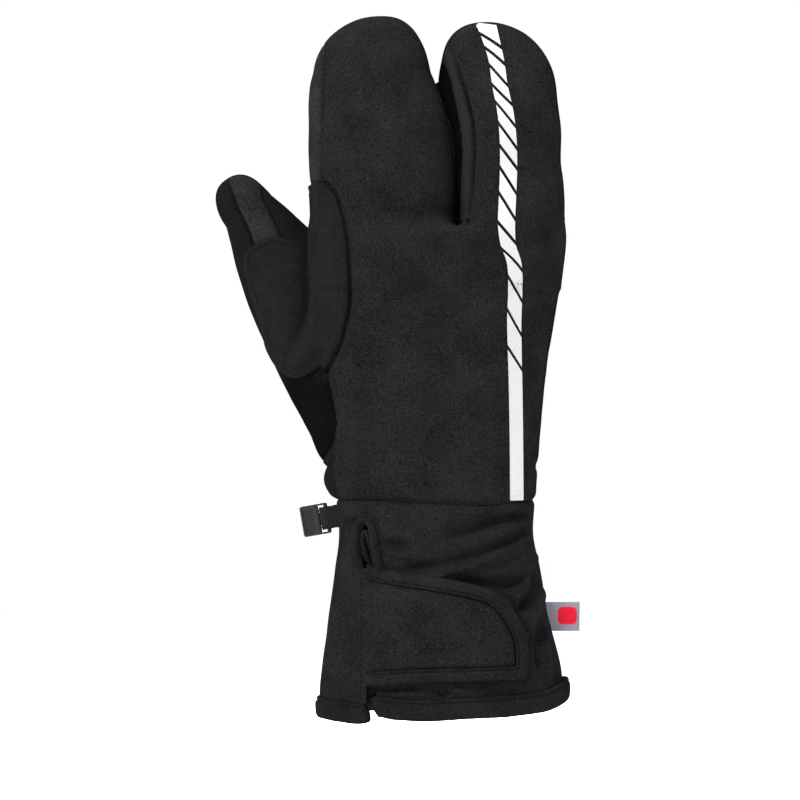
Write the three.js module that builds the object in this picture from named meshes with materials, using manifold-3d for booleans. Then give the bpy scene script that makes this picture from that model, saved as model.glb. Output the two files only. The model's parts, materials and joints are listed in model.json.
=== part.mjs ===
// A right-hand three-finger winter cycling glove, worn upright, in millimetres.
// +Z points to the fingertips, the back of the hand faces -Y and the palm faces +Y.
// The origin is the centre of the cuff's opening, where the forearm goes in.

import * as THREE from 'three';
import { mergeVertices } from 'three/addons/utils/BufferGeometryUtils.js';
import Module from 'manifold-3d';

const wasm = await Module();
wasm.setup();

// Driving dimensions

const HAND_WALL = 4;
const THUMB_WALL = 3.5;
const CUFF_WALL = 2.5;
const GAP = 0.3;
const SKIN_START = 0.35;
const PATCH_THICKNESS = 1.2;
const STRIPE_THICKNESS = 0.5;
const PLACKET_THICKNESS = 0.9;
const SEAM_OVERLAP = 1;

const WRIST_SEAM_Z = 88.5;
const GATHER_TOP_Z = 102.6;
const CROTCH_Z = 200;
const FORK_ROUND = 8;
const FORK_NARROWING = 18;
const FAR = 70;
const ABOVE = 300;

// How finely the round shapes are faceted. The lining needs half as many sides as the face.
const HAND_SIDES = 32;
const LOBE_SIDES = 24;
const THUMB_SIDES = 20;
const CUFF_SIDES = 40;
const CUFF_ROWS = 10;
const CAP_STEPS = 4;
const LINING_SHARE = 0.5;

// Cross-sections of the hand and cuff: where each side lies, and how square the section is.
const SLEEVE = [
  { z: 0, left: -48.5, right: 48.5, back: -37, palm: 36, power: 2.1 },
  { z: 20, left: -47.5, right: 46, back: -35, palm: 34, power: 2.1 },
  { z: 40, left: -45.5, right: 42, back: -32.5, palm: 31.5, power: 2.1 },
  { z: 60, left: -43, right: 39, back: -29.5, palm: 29, power: 2.1 },
  { z: 76, left: -41.5, right: 36.4, back: -27, palm: 27, power: 2.2 },
  { z: 88.5, left: -42.5, right: 37.2, back: -25.5, palm: 25.5, power: 2.3 },
  { z: 100, left: -43.5, right: 38, back: -24.5, palm: 25, power: 2.3 },
  { z: 120, left: -46.5, right: 39.6, back: -24, palm: 25, power: 2.4 },
  { z: 140, left: -49.5, right: 41.6, back: -24, palm: 25.5, power: 2.4 },
  { z: 160, left: -53, right: 44.8, back: -24, palm: 25, power: 2.5 },
  { z: 180, left: -54, right: 47.5, back: -23.5, palm: 24, power: 2.6 },
  { z: 200, left: -54, right: 48.3, back: -22, palm: 23.5, power: 2.8 },
];

// The two finger lobes, with the height of each rounded tip and how far the tip leans.
const LOBES = [
  {
    power: 2.1, capHeight: 28.8, leanX: 2.3, leanY: 3,
    rows: [
      { z: 176, left: -52.4, right: 2.6, back: -21.5, palm: 22 },
      { z: 192, left: -54.1, right: 4.8, back: -22.8, palm: 23.9 },
      { z: 201, left: -54.1, right: 4.7, back: -21.9, palm: 23.8 },
      { z: 220, left: -54, right: 4.4, back: -18.5, palm: 24 },
      { z: 240, left: -54.3, right: 2.2, back: -15, palm: 23.5 },
      { z: 256, left: -53.6, right: -2.4, back: -11, palm: 22.5 },
    ],
  },
  {
    power: 2.25, capHeight: 28.4, leanX: -4.5, leanY: 3,
    rows: [
      { z: 176, left: 9.5, right: 45.8, back: -21.5, palm: 22 },
      { z: 192, left: 8, right: 48.2, back: -22.8, palm: 23.9 },
      { z: 201, left: 7.9, right: 48.5, back: -21.9, palm: 23.8 },
      { z: 220, left: 6.2, right: 48.3, back: -17, palm: 24 },
      { z: 240, left: 3.4, right: 47.3, back: -13.5, palm: 24 },
      { z: 254, left: -0.8, right: 45.4, back: -10, palm: 23.5 },
    ],
  },
];

// The thumb, from its tip down to the root inside the hand. Wide and deep are half sizes.
const THUMB_UP = new THREE.Vector3(-0.574, 0, 0.819);
const THUMB_WIDE = new THREE.Vector3(0.819, 0, 0.574);
const THUMB_TIP = 15;
const THUMB_ROOT = 26;
const THUMB = [
  { x: -79.6, y: 22, z: 206.6, wide: 11, deep: 11 },
  { x: -69.5, y: 21, z: 190.5, wide: 16.4, deep: 13.5 },
  { x: -52.3, y: 15, z: 165.9, wide: 24.6, deep: 16 },
  { x: -42.3, y: 9, z: 148.5, wide: 26, deep: 18 },
  { x: -33, y: 5, z: 127, wide: 24, deep: 19 },
];

// The pad of the thumb's web, at the index side of the hand.
const WEB = [
  { x: -45, y: -3, z: 172, radius: 8 },
  { x: -47, y: -3, z: 158, radius: 9 },
  { x: -54.5, y: -1, z: 146.5, radius: 8.5 },
];

// Seams between the panels, drawn as seen from the back of the hand.
const LEFT_SEAM = [
  { x: -42.4, z: 80 }, { x: -42.4, z: 100 }, { x: -44.6, z: 113 }, { x: -46.7, z: 125 },
  { x: -48, z: 136 }, { x: -48.9, z: 150 }, { x: -48.9, z: 273 }, { x: -47, z: ABOVE },
];
const SIDE_WALL_Z = 142;
const SIDE_WALL_DEPTH = 8;
const INDEX_FORK_SEAM = [
  { x: 6.2, z: 196 }, { x: 3, z: 205 }, { x: 0.8, z: 220 }, { x: -0.5, z: 236 },
  { x: -2.5, z: 248 }, { x: -6.5, z: 262 }, { x: -10, z: 274 }, { x: -16, z: ABOVE },
];
const RING_FORK_SEAM = [
  { x: 8, z: 196 }, { x: 8.9, z: 202 }, { x: 10.5, z: 214.5 }, { x: 11.7, z: 226.6 },
  { x: 12, z: 237 }, { x: 10, z: 248.5 }, { x: 6, z: 263.4 }, { x: 1.4, z: 274.7 },
  { x: -5, z: ABOVE },
];
const GUSSET_PALM_Y = 14;
const GUSSET_FOOT_Z = 193;

// How far back the seam between the back and the palm lies at each height.
const SIDE_SEAM = [
  { y: -3, z: 60 }, { y: -3, z: 180 }, { y: -2, z: 200 }, { y: 0.5, z: 220 },
  { y: 2, z: 240 }, { y: 4, z: 256 }, { y: 8, z: ABOVE },
];

// Outlines of the pieces on the thumb and its crotch.
const PALM_PATCH = [
  { x: -62, z: 216.5 }, { x: -50.5, z: 216.1 }, { x: -45.7, z: 214.1 }, { x: -42.4, z: 208.1 },
  { x: -39.2, z: 193.9 }, { x: -38, z: 173.7 }, { x: -38.4, z: 165.6 }, { x: -41.6, z: 151.9 },
  { x: -47.7, z: 141.4 }, { x: -54.5, z: 137 }, { x: -60.6, z: 137 }, { x: -66, z: 141 },
];
const PALM_PATCH_BACK_Y = 16;
const THUMB_PATCH = [
  { x: -80, z: 189.1 }, { x: -75.5, z: 193.1 }, { x: -70.7, z: 195.1 }, { x: -66.3, z: 195.3 },
  { x: -59.4, z: 193.5 }, { x: -46, z: 188 }, { x: -46, z: 150 }, { x: -56, z: 139 },
  { x: -64.4, z: 139.8 }, { x: -71.2, z: 149.5 }, { x: -73.7, z: 159.6 }, { x: -77.2, z: 169.3 },
  { x: -79.4, z: 176.8 }, { x: -80.8, z: 184.2 },
];
const THUMB_PATCH_BACK_Y = 20;
const THUMB_FRONT = [
  { x: -88, z: 226 }, { x: -86.5, z: 219.1 }, { x: -84.8, z: 216.9 }, { x: -81.8, z: 207.7 },
  { x: -78.8, z: 199.6 }, { x: -75.5, z: 188 }, { x: -65, z: 188 }, { x: -65.7, z: 195.9 },
  { x: -67.5, z: 200.4 }, { x: -70.9, z: 207.7 }, { x: -72.8, z: 213.7 }, { x: -74, z: 226 },
];
const THUMB_FRONT_BACK_Y = 20;

// The gather: ribs of the elastic round the wrist.
const GATHER_SIDES = 72;
const GATHER_RIBS = 18;
const GATHER_RIB = 0.45;
const GATHER_ROWS = [
  { z: 88.8, swell: -0.3, thumbSide: 0.3 }, { z: 92, swell: 0.3, thumbSide: 0.9 },
  { z: 95.5, swell: 0, thumbSide: 1.4 }, { z: 99, swell: 0.4, thumbSide: 2.4 },
  { z: GATHER_TOP_Z - GAP, swell: 0, thumbSide: 3 },
];

// Folds pressed into the cuff: a groove from one end to the other, its depth and its width.
const CUFF_FOLDS = [
  { x1: 36.8, z1: 84, x2: 0.8, z2: 73.5, depth: 2.2, width: 4 },
  { x1: 34.3, z1: 70.7, x2: -13.3, z2: 58.6, depth: 2.5, width: 5 },
  { x1: 37.6, z1: 62.2, x2: 15, z2: 52.5, depth: 2.2, width: 4 },
  { x1: 40.4, z1: 49.3, x2: 33, z2: 32.3, depth: 2, width: 4 },
  { x1: -24.6, z1: 70.7, x2: -12.5, z2: 72.7, depth: 1.8, width: 4 },
];

// The hem: a rolled band that rises at the little-finger side and is open at the slit.
const HEM_HEIGHT = 9;
const HEM_THICKNESS = 3.6;
const HEM_CENTRE_Z = 4.5;
const HEM_RISE = 7;
const HEM_RISE_SHARPNESS = 8;
const HEM_OUTSET = 1;
const HEM_STEPS = 36;
const HEM_SIDES = 6;
const HEM_TOP = (HEM_HEIGHT / 2) * Math.cos(Math.PI / HEM_SIDES);
const SLIT_LEFT_X = -30;
const SLIT_RIGHT_X = -26.8;
const SLIT_BACK_Y = -10;

// The keyhole at the slit's upper end, and its bound edge.
const KEYHOLE = [
  { x: -33.6, z: 64 }, { x: -34.2, z: 72 }, { x: -33, z: 78.5 }, { x: -30.4, z: 80.8 },
  { x: -28, z: 78 }, { x: -26.4, z: 71 }, { x: -25, z: 64.5 },
];
const BINDING_RADIUS = 1.5;
const BINDING_DEPTH = 2.5;
const BINDING_OUTSET = 0.5;
const BINDING_SIDES = 6;
const BINDING_STEPS = 14;
const SLIT_GUSSET = [
  { x: -34.5, z: 60 }, { x: -34.5, z: 76 }, { x: -30, z: 83 }, { x: -25, z: 77 }, { x: -23, z: 60 },
];
const SLIT_GUSSET_THICKNESS = 1.2;

// The placket and the closure tab, as seen from the back of the hand.
const PLACKET = [
  { x: -33.6, z: 10 }, { x: -33.6, z: 60.5 }, { x: -31.4, z: 60.5 }, { x: -31.4, z: 10 },
];
const TAB_STEPS = 18;
const TAB_LIFT = 0.4;
const TAB_THICKNESS = 2;
const BINDING_THICKNESS = 3;
const TAB_OUTLINE = [
  { x: -31.1, z: 63.8 }, { x: -19.8, z: 61 }, { x: -3.4, z: 57.9 }, { x: 10.9, z: 54.7 },
  { x: 20.2, z: 51.3 }, { x: 25.5, z: 47 }, { x: 29.5, z: 40.4 }, { x: 32.7, z: 34.1 },
  { x: 34.3, z: 27.1 }, { x: 34.3, z: 19.8 }, { x: 32.2, z: 16.6 }, { x: 23.4, z: 15.4 },
  { x: -5.4, z: 14.5 }, { x: -31.1, z: 14.1 },
];
const TAB_INNER = [
  { x: -32, z: 58.2 }, { x: -15.8, z: 55 }, { x: -0.4, z: 52.1 }, { x: 13.1, z: 48.5 },
  { x: 20.2, z: 44.8 }, { x: 24.5, z: 40.4 }, { x: 27.1, z: 34.1 }, { x: 29.1, z: 29.1 },
  { x: 29.5, z: 22.8 }, { x: 28.1, z: 20.2 }, { x: 20.2, z: 19.8 }, { x: -5.4, z: 19.2 },
  { x: -32, z: 18.6 },
];

// The clip and its webbing, in a frame turned with the clip.
const CLIP_CENTRE = new THREE.Vector3(-50.6, 0, 80.9);
const CLIP_TURN = THREE.MathUtils.degToRad(-10);
const CLIP_LENGTH = 10.9;
const CLIP_HEIGHT = 12.6;
const CLIP_THICKNESS = 2;
const CLIP_BAR = 1.45;
const CLIP_RAIL = 0.9;
const CLIP_WINDOW = 3.1;
const HOOK_GAP = 1.8;
const HOOK_THICKNESS = 1.3;
const HOOK_REACH = 5;
const WEBBING_WIDTH = 9;
const WEBBING_THICKNESS = 1.2;
const WEBBING_ARC_STEPS = 8;
const BEND_CLEARANCE = 0.4;
const WEBBING_REACH = 17;

// The side label.
const LABEL = { left: 36, right: 55.2, low: 36, high: 47.7, thickness: 0.9 };

// The reflective stripe: where its middle runs and how wide it is.
const STRIPE_PATH = [
  { x: 17.4, z: 284, half: 3.7 }, { x: 17.9, z: 281, half: 3.7 }, { x: 21.8, z: 265.8, half: 3.6 },
  { x: 24, z: 254.5, half: 3.5 }, { x: 25.5, z: 242.4, half: 3.4 }, { x: 26.5, z: 230.3, half: 3.4 },
  { x: 26.5, z: 206, half: 3.4 }, { x: 26.2, z: 193.9, half: 3.4 }, { x: 28, z: 187.9, half: 3.3 },
  { x: 29.1, z: 169.7, half: 3.3 }, { x: 29.1, z: 151.5, half: 3.2 }, { x: 29.7, z: 109, half: 3.1 },
  { x: 29.9, z: 80, half: 3.05 },
];
const STRIPE_TOP_Z = 282;
const STRIPE_FOOT_Z = 89.2;
const FIRST_SLASH_Z = 276.7;
const FIRST_SLASH_STEP = 5.9;
const SLASH_STEP_GROWTH = 0.62;
const SLASH_DROP = 5.5;
const SLASH_DROP_GROWTH = 0.33;
const SLASH_DROP_MOST = 9.4;
const TILE_STEPS = 2;
const LAST_TILE_STEPS = 5;
const SLASH_COUNT = 14;
const SLASH_WIDTH = 1.6;

// Small helpers

const lerp = THREE.MathUtils.lerp;

function along(rows, key, z) {
  const sorted = rows[0].z < rows[rows.length - 1].z ? rows : [...rows].reverse();
  if (z <= sorted[0].z) return sorted[0][key];
  for (let i = 1; i < sorted.length; i++) {
    const low = sorted[i - 1];
    const high = sorted[i];
    if (z <= high.z) return lerp(low[key], high[key], (z - low.z) / (high.z - low.z));
  }
  return sorted[sorted.length - 1][key];
}

function sectionAt(z) {
  const section = { z };
  for (const key of ['left', 'right', 'back', 'palm', 'power']) section[key] = along(SLEEVE, key, z);
  return section;
}

function curveThrough(points, count) {
  const flat = points.map((p) => new THREE.Vector2(p.x, p.z));
  return new THREE.SplineCurve(flat).getPoints(count).map((p) => ({ x: p.x, z: p.y }));
}

// Moves an outline outward by a distance, each corner along the mean of its two sides' normals.
function widened(outline, distance) {
  const points = outline.map((p) => new THREE.Vector2(p.x, p.z));
  const turn = THREE.ShapeUtils.area(points) > 0 ? 1 : -1;
  return points.map((point, i) => {
    const before = points[(i + points.length - 1) % points.length];
    const after = points[(i + 1) % points.length];
    const run = point.clone().sub(before).normalize().add(after.clone().sub(point).normalize());
    run.normalize();
    return { x: point.x + turn * run.y * distance, z: point.y - turn * run.x * distance };
  });
}

// Solids: every closed shape is made as a geometry and then joined or cut.

function signedVolume(positions, triangles) {
  const a = new THREE.Vector3();
  const b = new THREE.Vector3();
  const c = new THREE.Vector3();
  let sum = 0;
  for (let i = 0; i < triangles.length; i += 3) {
    a.fromArray(positions, triangles[i] * 3);
    b.fromArray(positions, triangles[i + 1] * 3);
    c.fromArray(positions, triangles[i + 2] * 3);
    sum += a.dot(b.cross(c)) / 6;
  }
  return sum;
}

function toSolid(geometry) {
  const bare = new THREE.BufferGeometry();
  bare.setAttribute('position', geometry.getAttribute('position'));
  if (geometry.index) bare.setIndex(geometry.index);
  const merged = mergeVertices(bare, 1e-4);
  const positions = merged.getAttribute('position').array;
  const triangles = [];
  const index = merged.index.array;
  for (let i = 0; i < index.length; i += 3) {
    const [a, b, c] = [index[i], index[i + 1], index[i + 2]];
    if (a !== b && b !== c && c !== a) triangles.push(a, b, c);
  }
  if (signedVolume(positions, triangles) < 0) triangles.reverse();
  return new wasm.Manifold(new wasm.Mesh({
    numProp: 3,
    vertProperties: new Float32Array(positions),
    triVerts: new Uint32Array(triangles),
  }));
}

// Keeps only the body with the most triangles, so that a cut leaves no loose slivers.
function mainBody(solid) {
  const mesh = solid.getMesh();
  const parent = Array.from({ length: mesh.vertProperties.length / 3 }, (_, i) => i);
  const find = (i) => {
    while (parent[i] !== i) {
      parent[i] = parent[parent[i]];
      i = parent[i];
    }
    return i;
  };
  const triangles = mesh.triVerts;
  for (let i = 0; i < triangles.length; i += 3) {
    parent[find(triangles[i])] = find(triangles[i + 1]);
    parent[find(triangles[i + 1])] = find(triangles[i + 2]);
  }
  const bodies = new Map();
  for (let i = 0; i < triangles.length; i += 3) {
    const root = find(triangles[i]);
    if (!bodies.has(root)) bodies.set(root, []);
    bodies.get(root).push(triangles[i], triangles[i + 1], triangles[i + 2]);
  }
  const largest = [...bodies.values()].sort((a, b) => b.length - a.length)[0];
  const geometry = new THREE.BufferGeometry();
  geometry.setAttribute('position', new THREE.BufferAttribute(mesh.vertProperties, 3));
  geometry.setIndex(largest);
  return geometry.toNonIndexed();
}

// Joins rings of points into a closed solid. Each end closes on a middle point.
function loft(rings, start, end) {
  const count = rings[0].length;
  const points = [start, ...rings.flat(), end];
  const last = points.length - 1;
  const triangles = [];
  for (let i = 0; i < count; i++) {
    const next = (i + 1) % count;
    triangles.push(0, 1 + next, 1 + i);
    for (let r = 0; r < rings.length - 1; r++) {
      const low = 1 + r * count;
      const high = low + count;
      triangles.push(low + i, low + next, high + next, low + i, high + next, high + i);
    }
    const top = 1 + (rings.length - 1) * count;
    triangles.push(top + i, top + next, last);
  }
  const geometry = new THREE.BufferGeometry();
  geometry.setFromPoints(points);
  geometry.setIndex(triangles);
  return toSolid(geometry);
}

// A prism with an outline in X and Z, from yLow to yHigh.
function prismXZ(outline, yLow, yHigh) {
  const shape = new THREE.Shape(outline.map((p) => new THREE.Vector2(p.x, p.z)));
  const geometry = new THREE.ExtrudeGeometry(shape, { depth: yHigh - yLow, bevelEnabled: false });
  geometry.translate(0, 0, -yHigh);
  const x = new THREE.Vector3(1, 0, 0);
  const y = new THREE.Vector3(0, 0, 1);
  const z = new THREE.Vector3(0, -1, 0);
  geometry.applyMatrix4(new THREE.Matrix4().makeBasis(x, y, z));
  return toSolid(geometry);
}

// Everything on the back side of the side seam, moved to the palm side by grow.
function backHalf(grow) {
  const edge = SIDE_SEAM.map((p) => new THREE.Vector2(p.y + grow, p.z));
  const shape = new THREE.Shape([new THREE.Vector2(-FAR, SIDE_SEAM[0].z), ...edge,
    new THREE.Vector2(-FAR, ABOVE)]);
  const geometry = new THREE.ExtrudeGeometry(shape, { depth: 4 * FAR, bevelEnabled: false });
  geometry.translate(0, 0, -2 * FAR);
  const x = new THREE.Vector3(0, 1, 0);
  const y = new THREE.Vector3(0, 0, 1);
  const z = new THREE.Vector3(1, 0, 0);
  geometry.applyMatrix4(new THREE.Matrix4().makeBasis(x, y, z));
  return toSolid(geometry);
}

// A ring round one section, grown outward by a distance that may change with the angle.
function ring(section, sides, growAt) {
  const middleX = (section.left + section.right) / 2;
  const middleY = (section.back + section.palm) / 2;
  const points = [];
  for (let i = 0; i < sides; i++) {
    const angle = (2 * Math.PI * i) / sides;
    const grow = growAt(angle);
    const halfX = (section.right - section.left) / 2 + grow;
    const halfY = (section.palm - section.back) / 2 + grow;
    const c = Math.cos(angle);
    const s = Math.sin(angle);
    const bend = 2 / section.power;
    points.push(new THREE.Vector3(
      middleX + halfX * Math.sign(c) * Math.abs(c) ** bend,
      middleY + halfY * Math.sign(s) * Math.abs(s) ** bend,
      section.z,
    ));
  }
  return points;
}

function ringMiddle(section, lift = 0) {
  return new THREE.Vector3((section.left + section.right) / 2, (section.back + section.palm) / 2,
    section.z + lift);
}

// The rings of a rounded end: each one smaller and further along than the one before.
function capFractions(power) {
  const steps = [];
  for (let i = 1; i < CAP_STEPS; i++) {
    const along01 = Math.sin((Math.PI / 2) * (i / CAP_STEPS));
    steps.push({ height: along01, width: (1 - along01 ** power) ** (1 / power) });
  }
  return steps;
}

// The hand: a sleeve from the wrist to the fork, with two lobes on it.

function sleeveSolid(grow, bottom, sides) {
  const rows = SLEEVE.filter((row) => row.z > bottom + 1 && row.z < CROTCH_Z);
  const sections = [sectionAt(bottom), ...rows, sectionAt(CROTCH_Z - FORK_ROUND)];
  const rings = sections.map((section) => ring(section, sides, () => grow));
  const top = sections[sections.length - 1];
  const roundHeight = FORK_ROUND + grow;
  for (const step of capFractions(2)) {
    const shrink = (1 - step.width) * FORK_NARROWING;
    const section = { ...top, z: top.z + roundHeight * step.height };
    rings.push(ring(section, sides, () => grow - shrink));
  }
  return loft(rings, ringMiddle(sections[0]), ringMiddle(top, roundHeight));
}

function lobeSolid(lobe, grow, sides) {
  const rows = lobe.rows.map((row) => ({ ...row, power: lobe.power }));
  const rings = rows.map((row) => ring(row, sides, () => grow));
  const top = rows[rows.length - 1];
  const height = lobe.capHeight + grow;
  const halfX = (top.right - top.left) / 2 + grow;
  const halfY = (top.palm - top.back) / 2 + grow;
  const middle = ringMiddle(top);
  for (const step of capFractions(lobe.power)) {
    const x = middle.x + lobe.leanX * step.height;
    const y = middle.y + lobe.leanY * step.height;
    const section = {
      left: x - halfX * step.width,
      right: x + halfX * step.width,
      back: y - halfY * step.width,
      palm: y + halfY * step.width,
      z: top.z + height * step.height,
      power: lobe.power,
    };
    rings.push(ring(section, sides, () => 0));
  }
  const tip = new THREE.Vector3(middle.x + lobe.leanX, middle.y + lobe.leanY, top.z + height);
  return loft(rings, ringMiddle(rows[0]), tip);
}

function webSolid(grow) {
  const sections = WEB.map((row) => ({
    left: row.x - row.radius, right: row.x + row.radius,
    back: row.y - row.radius, palm: row.y + row.radius, z: row.z, power: 2,
  })).reverse();
  const rings = [];
  const foot = sections[0];
  const head = sections[sections.length - 1];
  const reach = (section) => (section.right - section.left) / 2 + grow;
  const fractions = capFractions(2);
  for (const step of [...fractions].reverse()) {
    const section = { ...foot, z: foot.z - reach(foot) * step.height };
    rings.push(ring(section, THUMB_SIDES, () => grow - reach(foot) * (1 - step.width)));
  }
  for (const section of sections) rings.push(ring(section, THUMB_SIDES, () => grow));
  for (const step of fractions) {
    const section = { ...head, z: head.z + reach(head) * step.height };
    rings.push(ring(section, THUMB_SIDES, () => grow - reach(head) * (1 - step.width)));
  }
  return loft(rings, ringMiddle(foot, -reach(foot)), ringMiddle(head, reach(head)));
}

function handSolid(grow, bottom = WRIST_SEAM_Z + GAP / 2, share = 1) {
  const [indexLobe, ringLobe] = LOBES.map((lobe) => lobeSolid(lobe, grow, LOBE_SIDES * share));
  return sleeveSolid(grow, bottom, HAND_SIDES * share).add(indexLobe).add(ringLobe);
}

// The thumb: rings square to its axis, with a rounded tip and a rounded root.

function thumbSolid(grow, share = 1) {
  const sides = THUMB_SIDES * share;
  const ringAt = (row, wide, deep, shift) => {
    const centre = new THREE.Vector3(row.x, row.y, row.z).addScaledVector(THUMB_UP, shift);
    const points = [];
    for (let i = 0; i < sides; i++) {
      const angle = (2 * Math.PI * i) / sides;
      const point = centre.clone().addScaledVector(THUMB_WIDE, wide * Math.cos(angle));
      point.y += deep * Math.sin(angle);
      points.push(point);
    }
    return points;
  };
  const tip = THUMB[0];
  const root = THUMB[THUMB.length - 1];
  const fractions = capFractions(2);
  const rings = [];
  for (const step of [...fractions].reverse()) {
    rings.push(ringAt(tip, (tip.wide + grow) * step.width, (tip.deep + grow) * step.width,
      (THUMB_TIP + grow) * step.height));
  }
  for (const row of THUMB) rings.push(ringAt(row, row.wide + grow, row.deep + grow, 0));
  for (const step of fractions) {
    rings.push(ringAt(root, (root.wide + grow) * step.width, (root.deep + grow) * step.width,
      -(THUMB_ROOT + grow) * step.height));
  }
  const tipPoint = new THREE.Vector3(tip.x, tip.y, tip.z).addScaledVector(THUMB_UP, THUMB_TIP + grow);
  const rootPoint = new THREE.Vector3(root.x, root.y, root.z)
    .addScaledVector(THUMB_UP, -(THUMB_ROOT + grow));
  return loft(rings, tipPoint, rootPoint);
}

// The cuff: a flaring wall with its folds, standing on the hem.

function foldDepth(x, y, z) {
  if (y > 0) return 0;
  let depth = 0;
  for (const fold of CUFF_FOLDS) {
    const start = new THREE.Vector2(fold.x1, fold.z1);
    const run = new THREE.Vector2(fold.x2, fold.z2).sub(start);
    const point = new THREE.Vector2(x, z).sub(start);
    const t = THREE.MathUtils.clamp(point.dot(run) / run.lengthSq(), 0, 1);
    const distance = point.distanceTo(run.multiplyScalar(t));
    depth += fold.depth * Math.exp(-((distance / fold.width) ** 2));
  }
  return depth;
}

function hemCentreZ(angle) {
  return HEM_CENTRE_Z + HEM_RISE * ((1 + Math.cos(angle)) / 2) ** HEM_RISE_SHARPNESS;
}

function cuffRing(fraction, grow, withFolds) {
  const points = [];
  const top = WRIST_SEAM_Z - GAP / 2;
  for (let i = 0; i < CUFF_SIDES; i++) {
    const angle = (2 * Math.PI * i) / CUFF_SIDES;
    const foot = hemCentreZ(angle) + HEM_TOP + GAP;
    const section = sectionAt(lerp(foot, top, fraction));
    const point = ring(section, CUFF_SIDES, () => grow)[i];
    const depth = withFolds ? foldDepth(point.x, point.y, point.z) : 0;
    const middle = ringMiddle(section);
    const inward = new THREE.Vector2(middle.x - point.x, middle.y - point.y).setLength(depth);
    points.push(new THREE.Vector3(point.x + inward.x, point.y + inward.y, point.z));
  }
  return points;
}

function cuffSolid(grow, withFolds) {
  const rings = [];
  for (let row = 0; row <= CUFF_ROWS; row++) rings.push(cuffRing(row / CUFF_ROWS, grow, withFolds));
  return loft(rings, ringMiddle(sectionAt(HEM_CENTRE_Z + HEM_TOP + GAP)),
    ringMiddle(sectionAt(WRIST_SEAM_Z - GAP / 2)));
}

// A core whose ends stand past the cuff's, so that the cuff is open at both.
function cuffCore() {
  const rings = [];
  const below = cuffRing(0, -CUFF_WALL, true).map((p) => p.clone().setZ(p.z - 2 * HEM_HEIGHT));
  rings.push(below);
  for (let row = 0; row <= CUFF_ROWS; row++) rings.push(cuffRing(row / CUFF_ROWS, -CUFF_WALL, true));
  const above = cuffRing(1, -CUFF_WALL, true).map((p) => p.clone().setZ(p.z + HEM_HEIGHT));
  rings.push(above);
  return loft(rings, ringMiddle(sectionAt(0), -2 * HEM_HEIGHT),
    ringMiddle(sectionAt(WRIST_SEAM_Z), HEM_HEIGHT));
}

// A strip that follows a surface: the space between two offsets of it, inside an outline.
function skin(outer, inner, outline, yHigh) {
  return outer.subtract(inner).intersect(prismXZ(outline, -FAR, yHigh));
}

// Regions of the hand's wall, each cut out by its seams.

function backRegion(grow) {
  const left = LEFT_SEAM.map((p) => ({ x: p.x - grow, z: p.z }));
  const index = INDEX_FORK_SEAM.map((p) => ({ x: p.x + grow, z: p.z }));
  const ringSide = RING_FORK_SEAM.map((p) => ({ x: p.x - grow, z: p.z }));
  index[0].z += grow;
  ringSide[0].z += grow;
  const outline = [...left, ...index.reverse(), ...ringSide,
    { x: FAR, z: ABOVE }, { x: FAR, z: LEFT_SEAM[0].z }];
  return prismXZ(outline, -FAR, FAR).intersect(backHalf(grow));
}

function sideWallRegion(grow) {
  const low = SIDE_WALL_Z - grow;
  const seam = LEFT_SEAM.filter((p) => p.z > SIDE_WALL_Z);
  const outline = [{ x: -FAR, z: low }, { x: along(LEFT_SEAM, 'x', low) + SEAM_OVERLAP, z: low },
    ...seam.map((p) => ({ x: p.x + SEAM_OVERLAP, z: p.z })), { x: -FAR, z: ABOVE }];
  return prismXZ(outline, -FAR, FAR).intersect(backHalf(SIDE_WALL_DEPTH + grow));
}

function gussetRegion(grow) {
  const index = INDEX_FORK_SEAM.map((p) => ({ x: p.x - SEAM_OVERLAP, z: p.z }));
  const ringSide = RING_FORK_SEAM.map((p) => ({ x: p.x + SEAM_OVERLAP, z: p.z }));
  const foot = GUSSET_FOOT_Z - grow;
  const outline = [{ x: index[0].x - grow, z: foot }, { x: ringSide[0].x + grow, z: foot },
    ...ringSide.map((p) => ({ x: p.x + grow, z: p.z })),
    ...index.reverse().map((p) => ({ x: p.x - grow, z: p.z }))];
  return prismXZ(outline, -FAR, GUSSET_PALM_Y + grow);
}

function belowGather(grow) {
  const top = GATHER_TOP_Z + grow;
  const outline = [{ x: -2 * FAR, z: -FAR }, { x: 2 * FAR, z: -FAR }, { x: 2 * FAR, z: top },
    { x: -2 * FAR, z: top }];
  return prismXZ(outline, -FAR, FAR);
}

// Pieces of the hand

const handOuter = handSolid(0);
const handInner = handSolid(-HAND_WALL, WRIST_SEAM_Z - HEM_HEIGHT, LINING_SHARE);
const thumbOuter = thumbSolid(0);
const thumbInner = thumbSolid(-THUMB_WALL, LINING_SHARE);
const handWall = handOuter.add(webSolid(0)).subtract(handInner).subtract(thumbInner);

function makeBackPanel() {
  return mainBody(handWall.intersect(backRegion(0)));
}

function makeIndexSideWall() {
  return mainBody(handWall.intersect(sideWallRegion(0)).subtract(backRegion(GAP)));
}

function makeFingerGusset() {
  return mainBody(handWall.intersect(gussetRegion(0)).subtract(backRegion(GAP)));
}

function makePalmPanel() {
  return mainBody(handWall.subtract(backRegion(GAP)).subtract(sideWallRegion(GAP))
    .subtract(gussetRegion(GAP)).subtract(belowGather(0)));
}

function makeWristGather() {
  const rib = (angle) => GATHER_RIB * Math.cos(GATHER_RIBS * angle);
  const nearThumb = (angle) => ((1 - Math.cos(angle)) / 2) ** 4;
  const rings = GATHER_ROWS.map((row) => ring(sectionAt(row.z), GATHER_SIDES,
    (angle) => row.swell + row.thumbSide * nearThumb(angle) + rib(angle)));
  const first = sectionAt(GATHER_ROWS[0].z);
  const last = sectionAt(GATHER_ROWS[GATHER_ROWS.length - 1].z);
  const band = loft(rings, ringMiddle(first), ringMiddle(last));
  return mainBody(band.subtract(handInner).subtract(backRegion(GAP)));
}

// Pieces of the thumb

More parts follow.
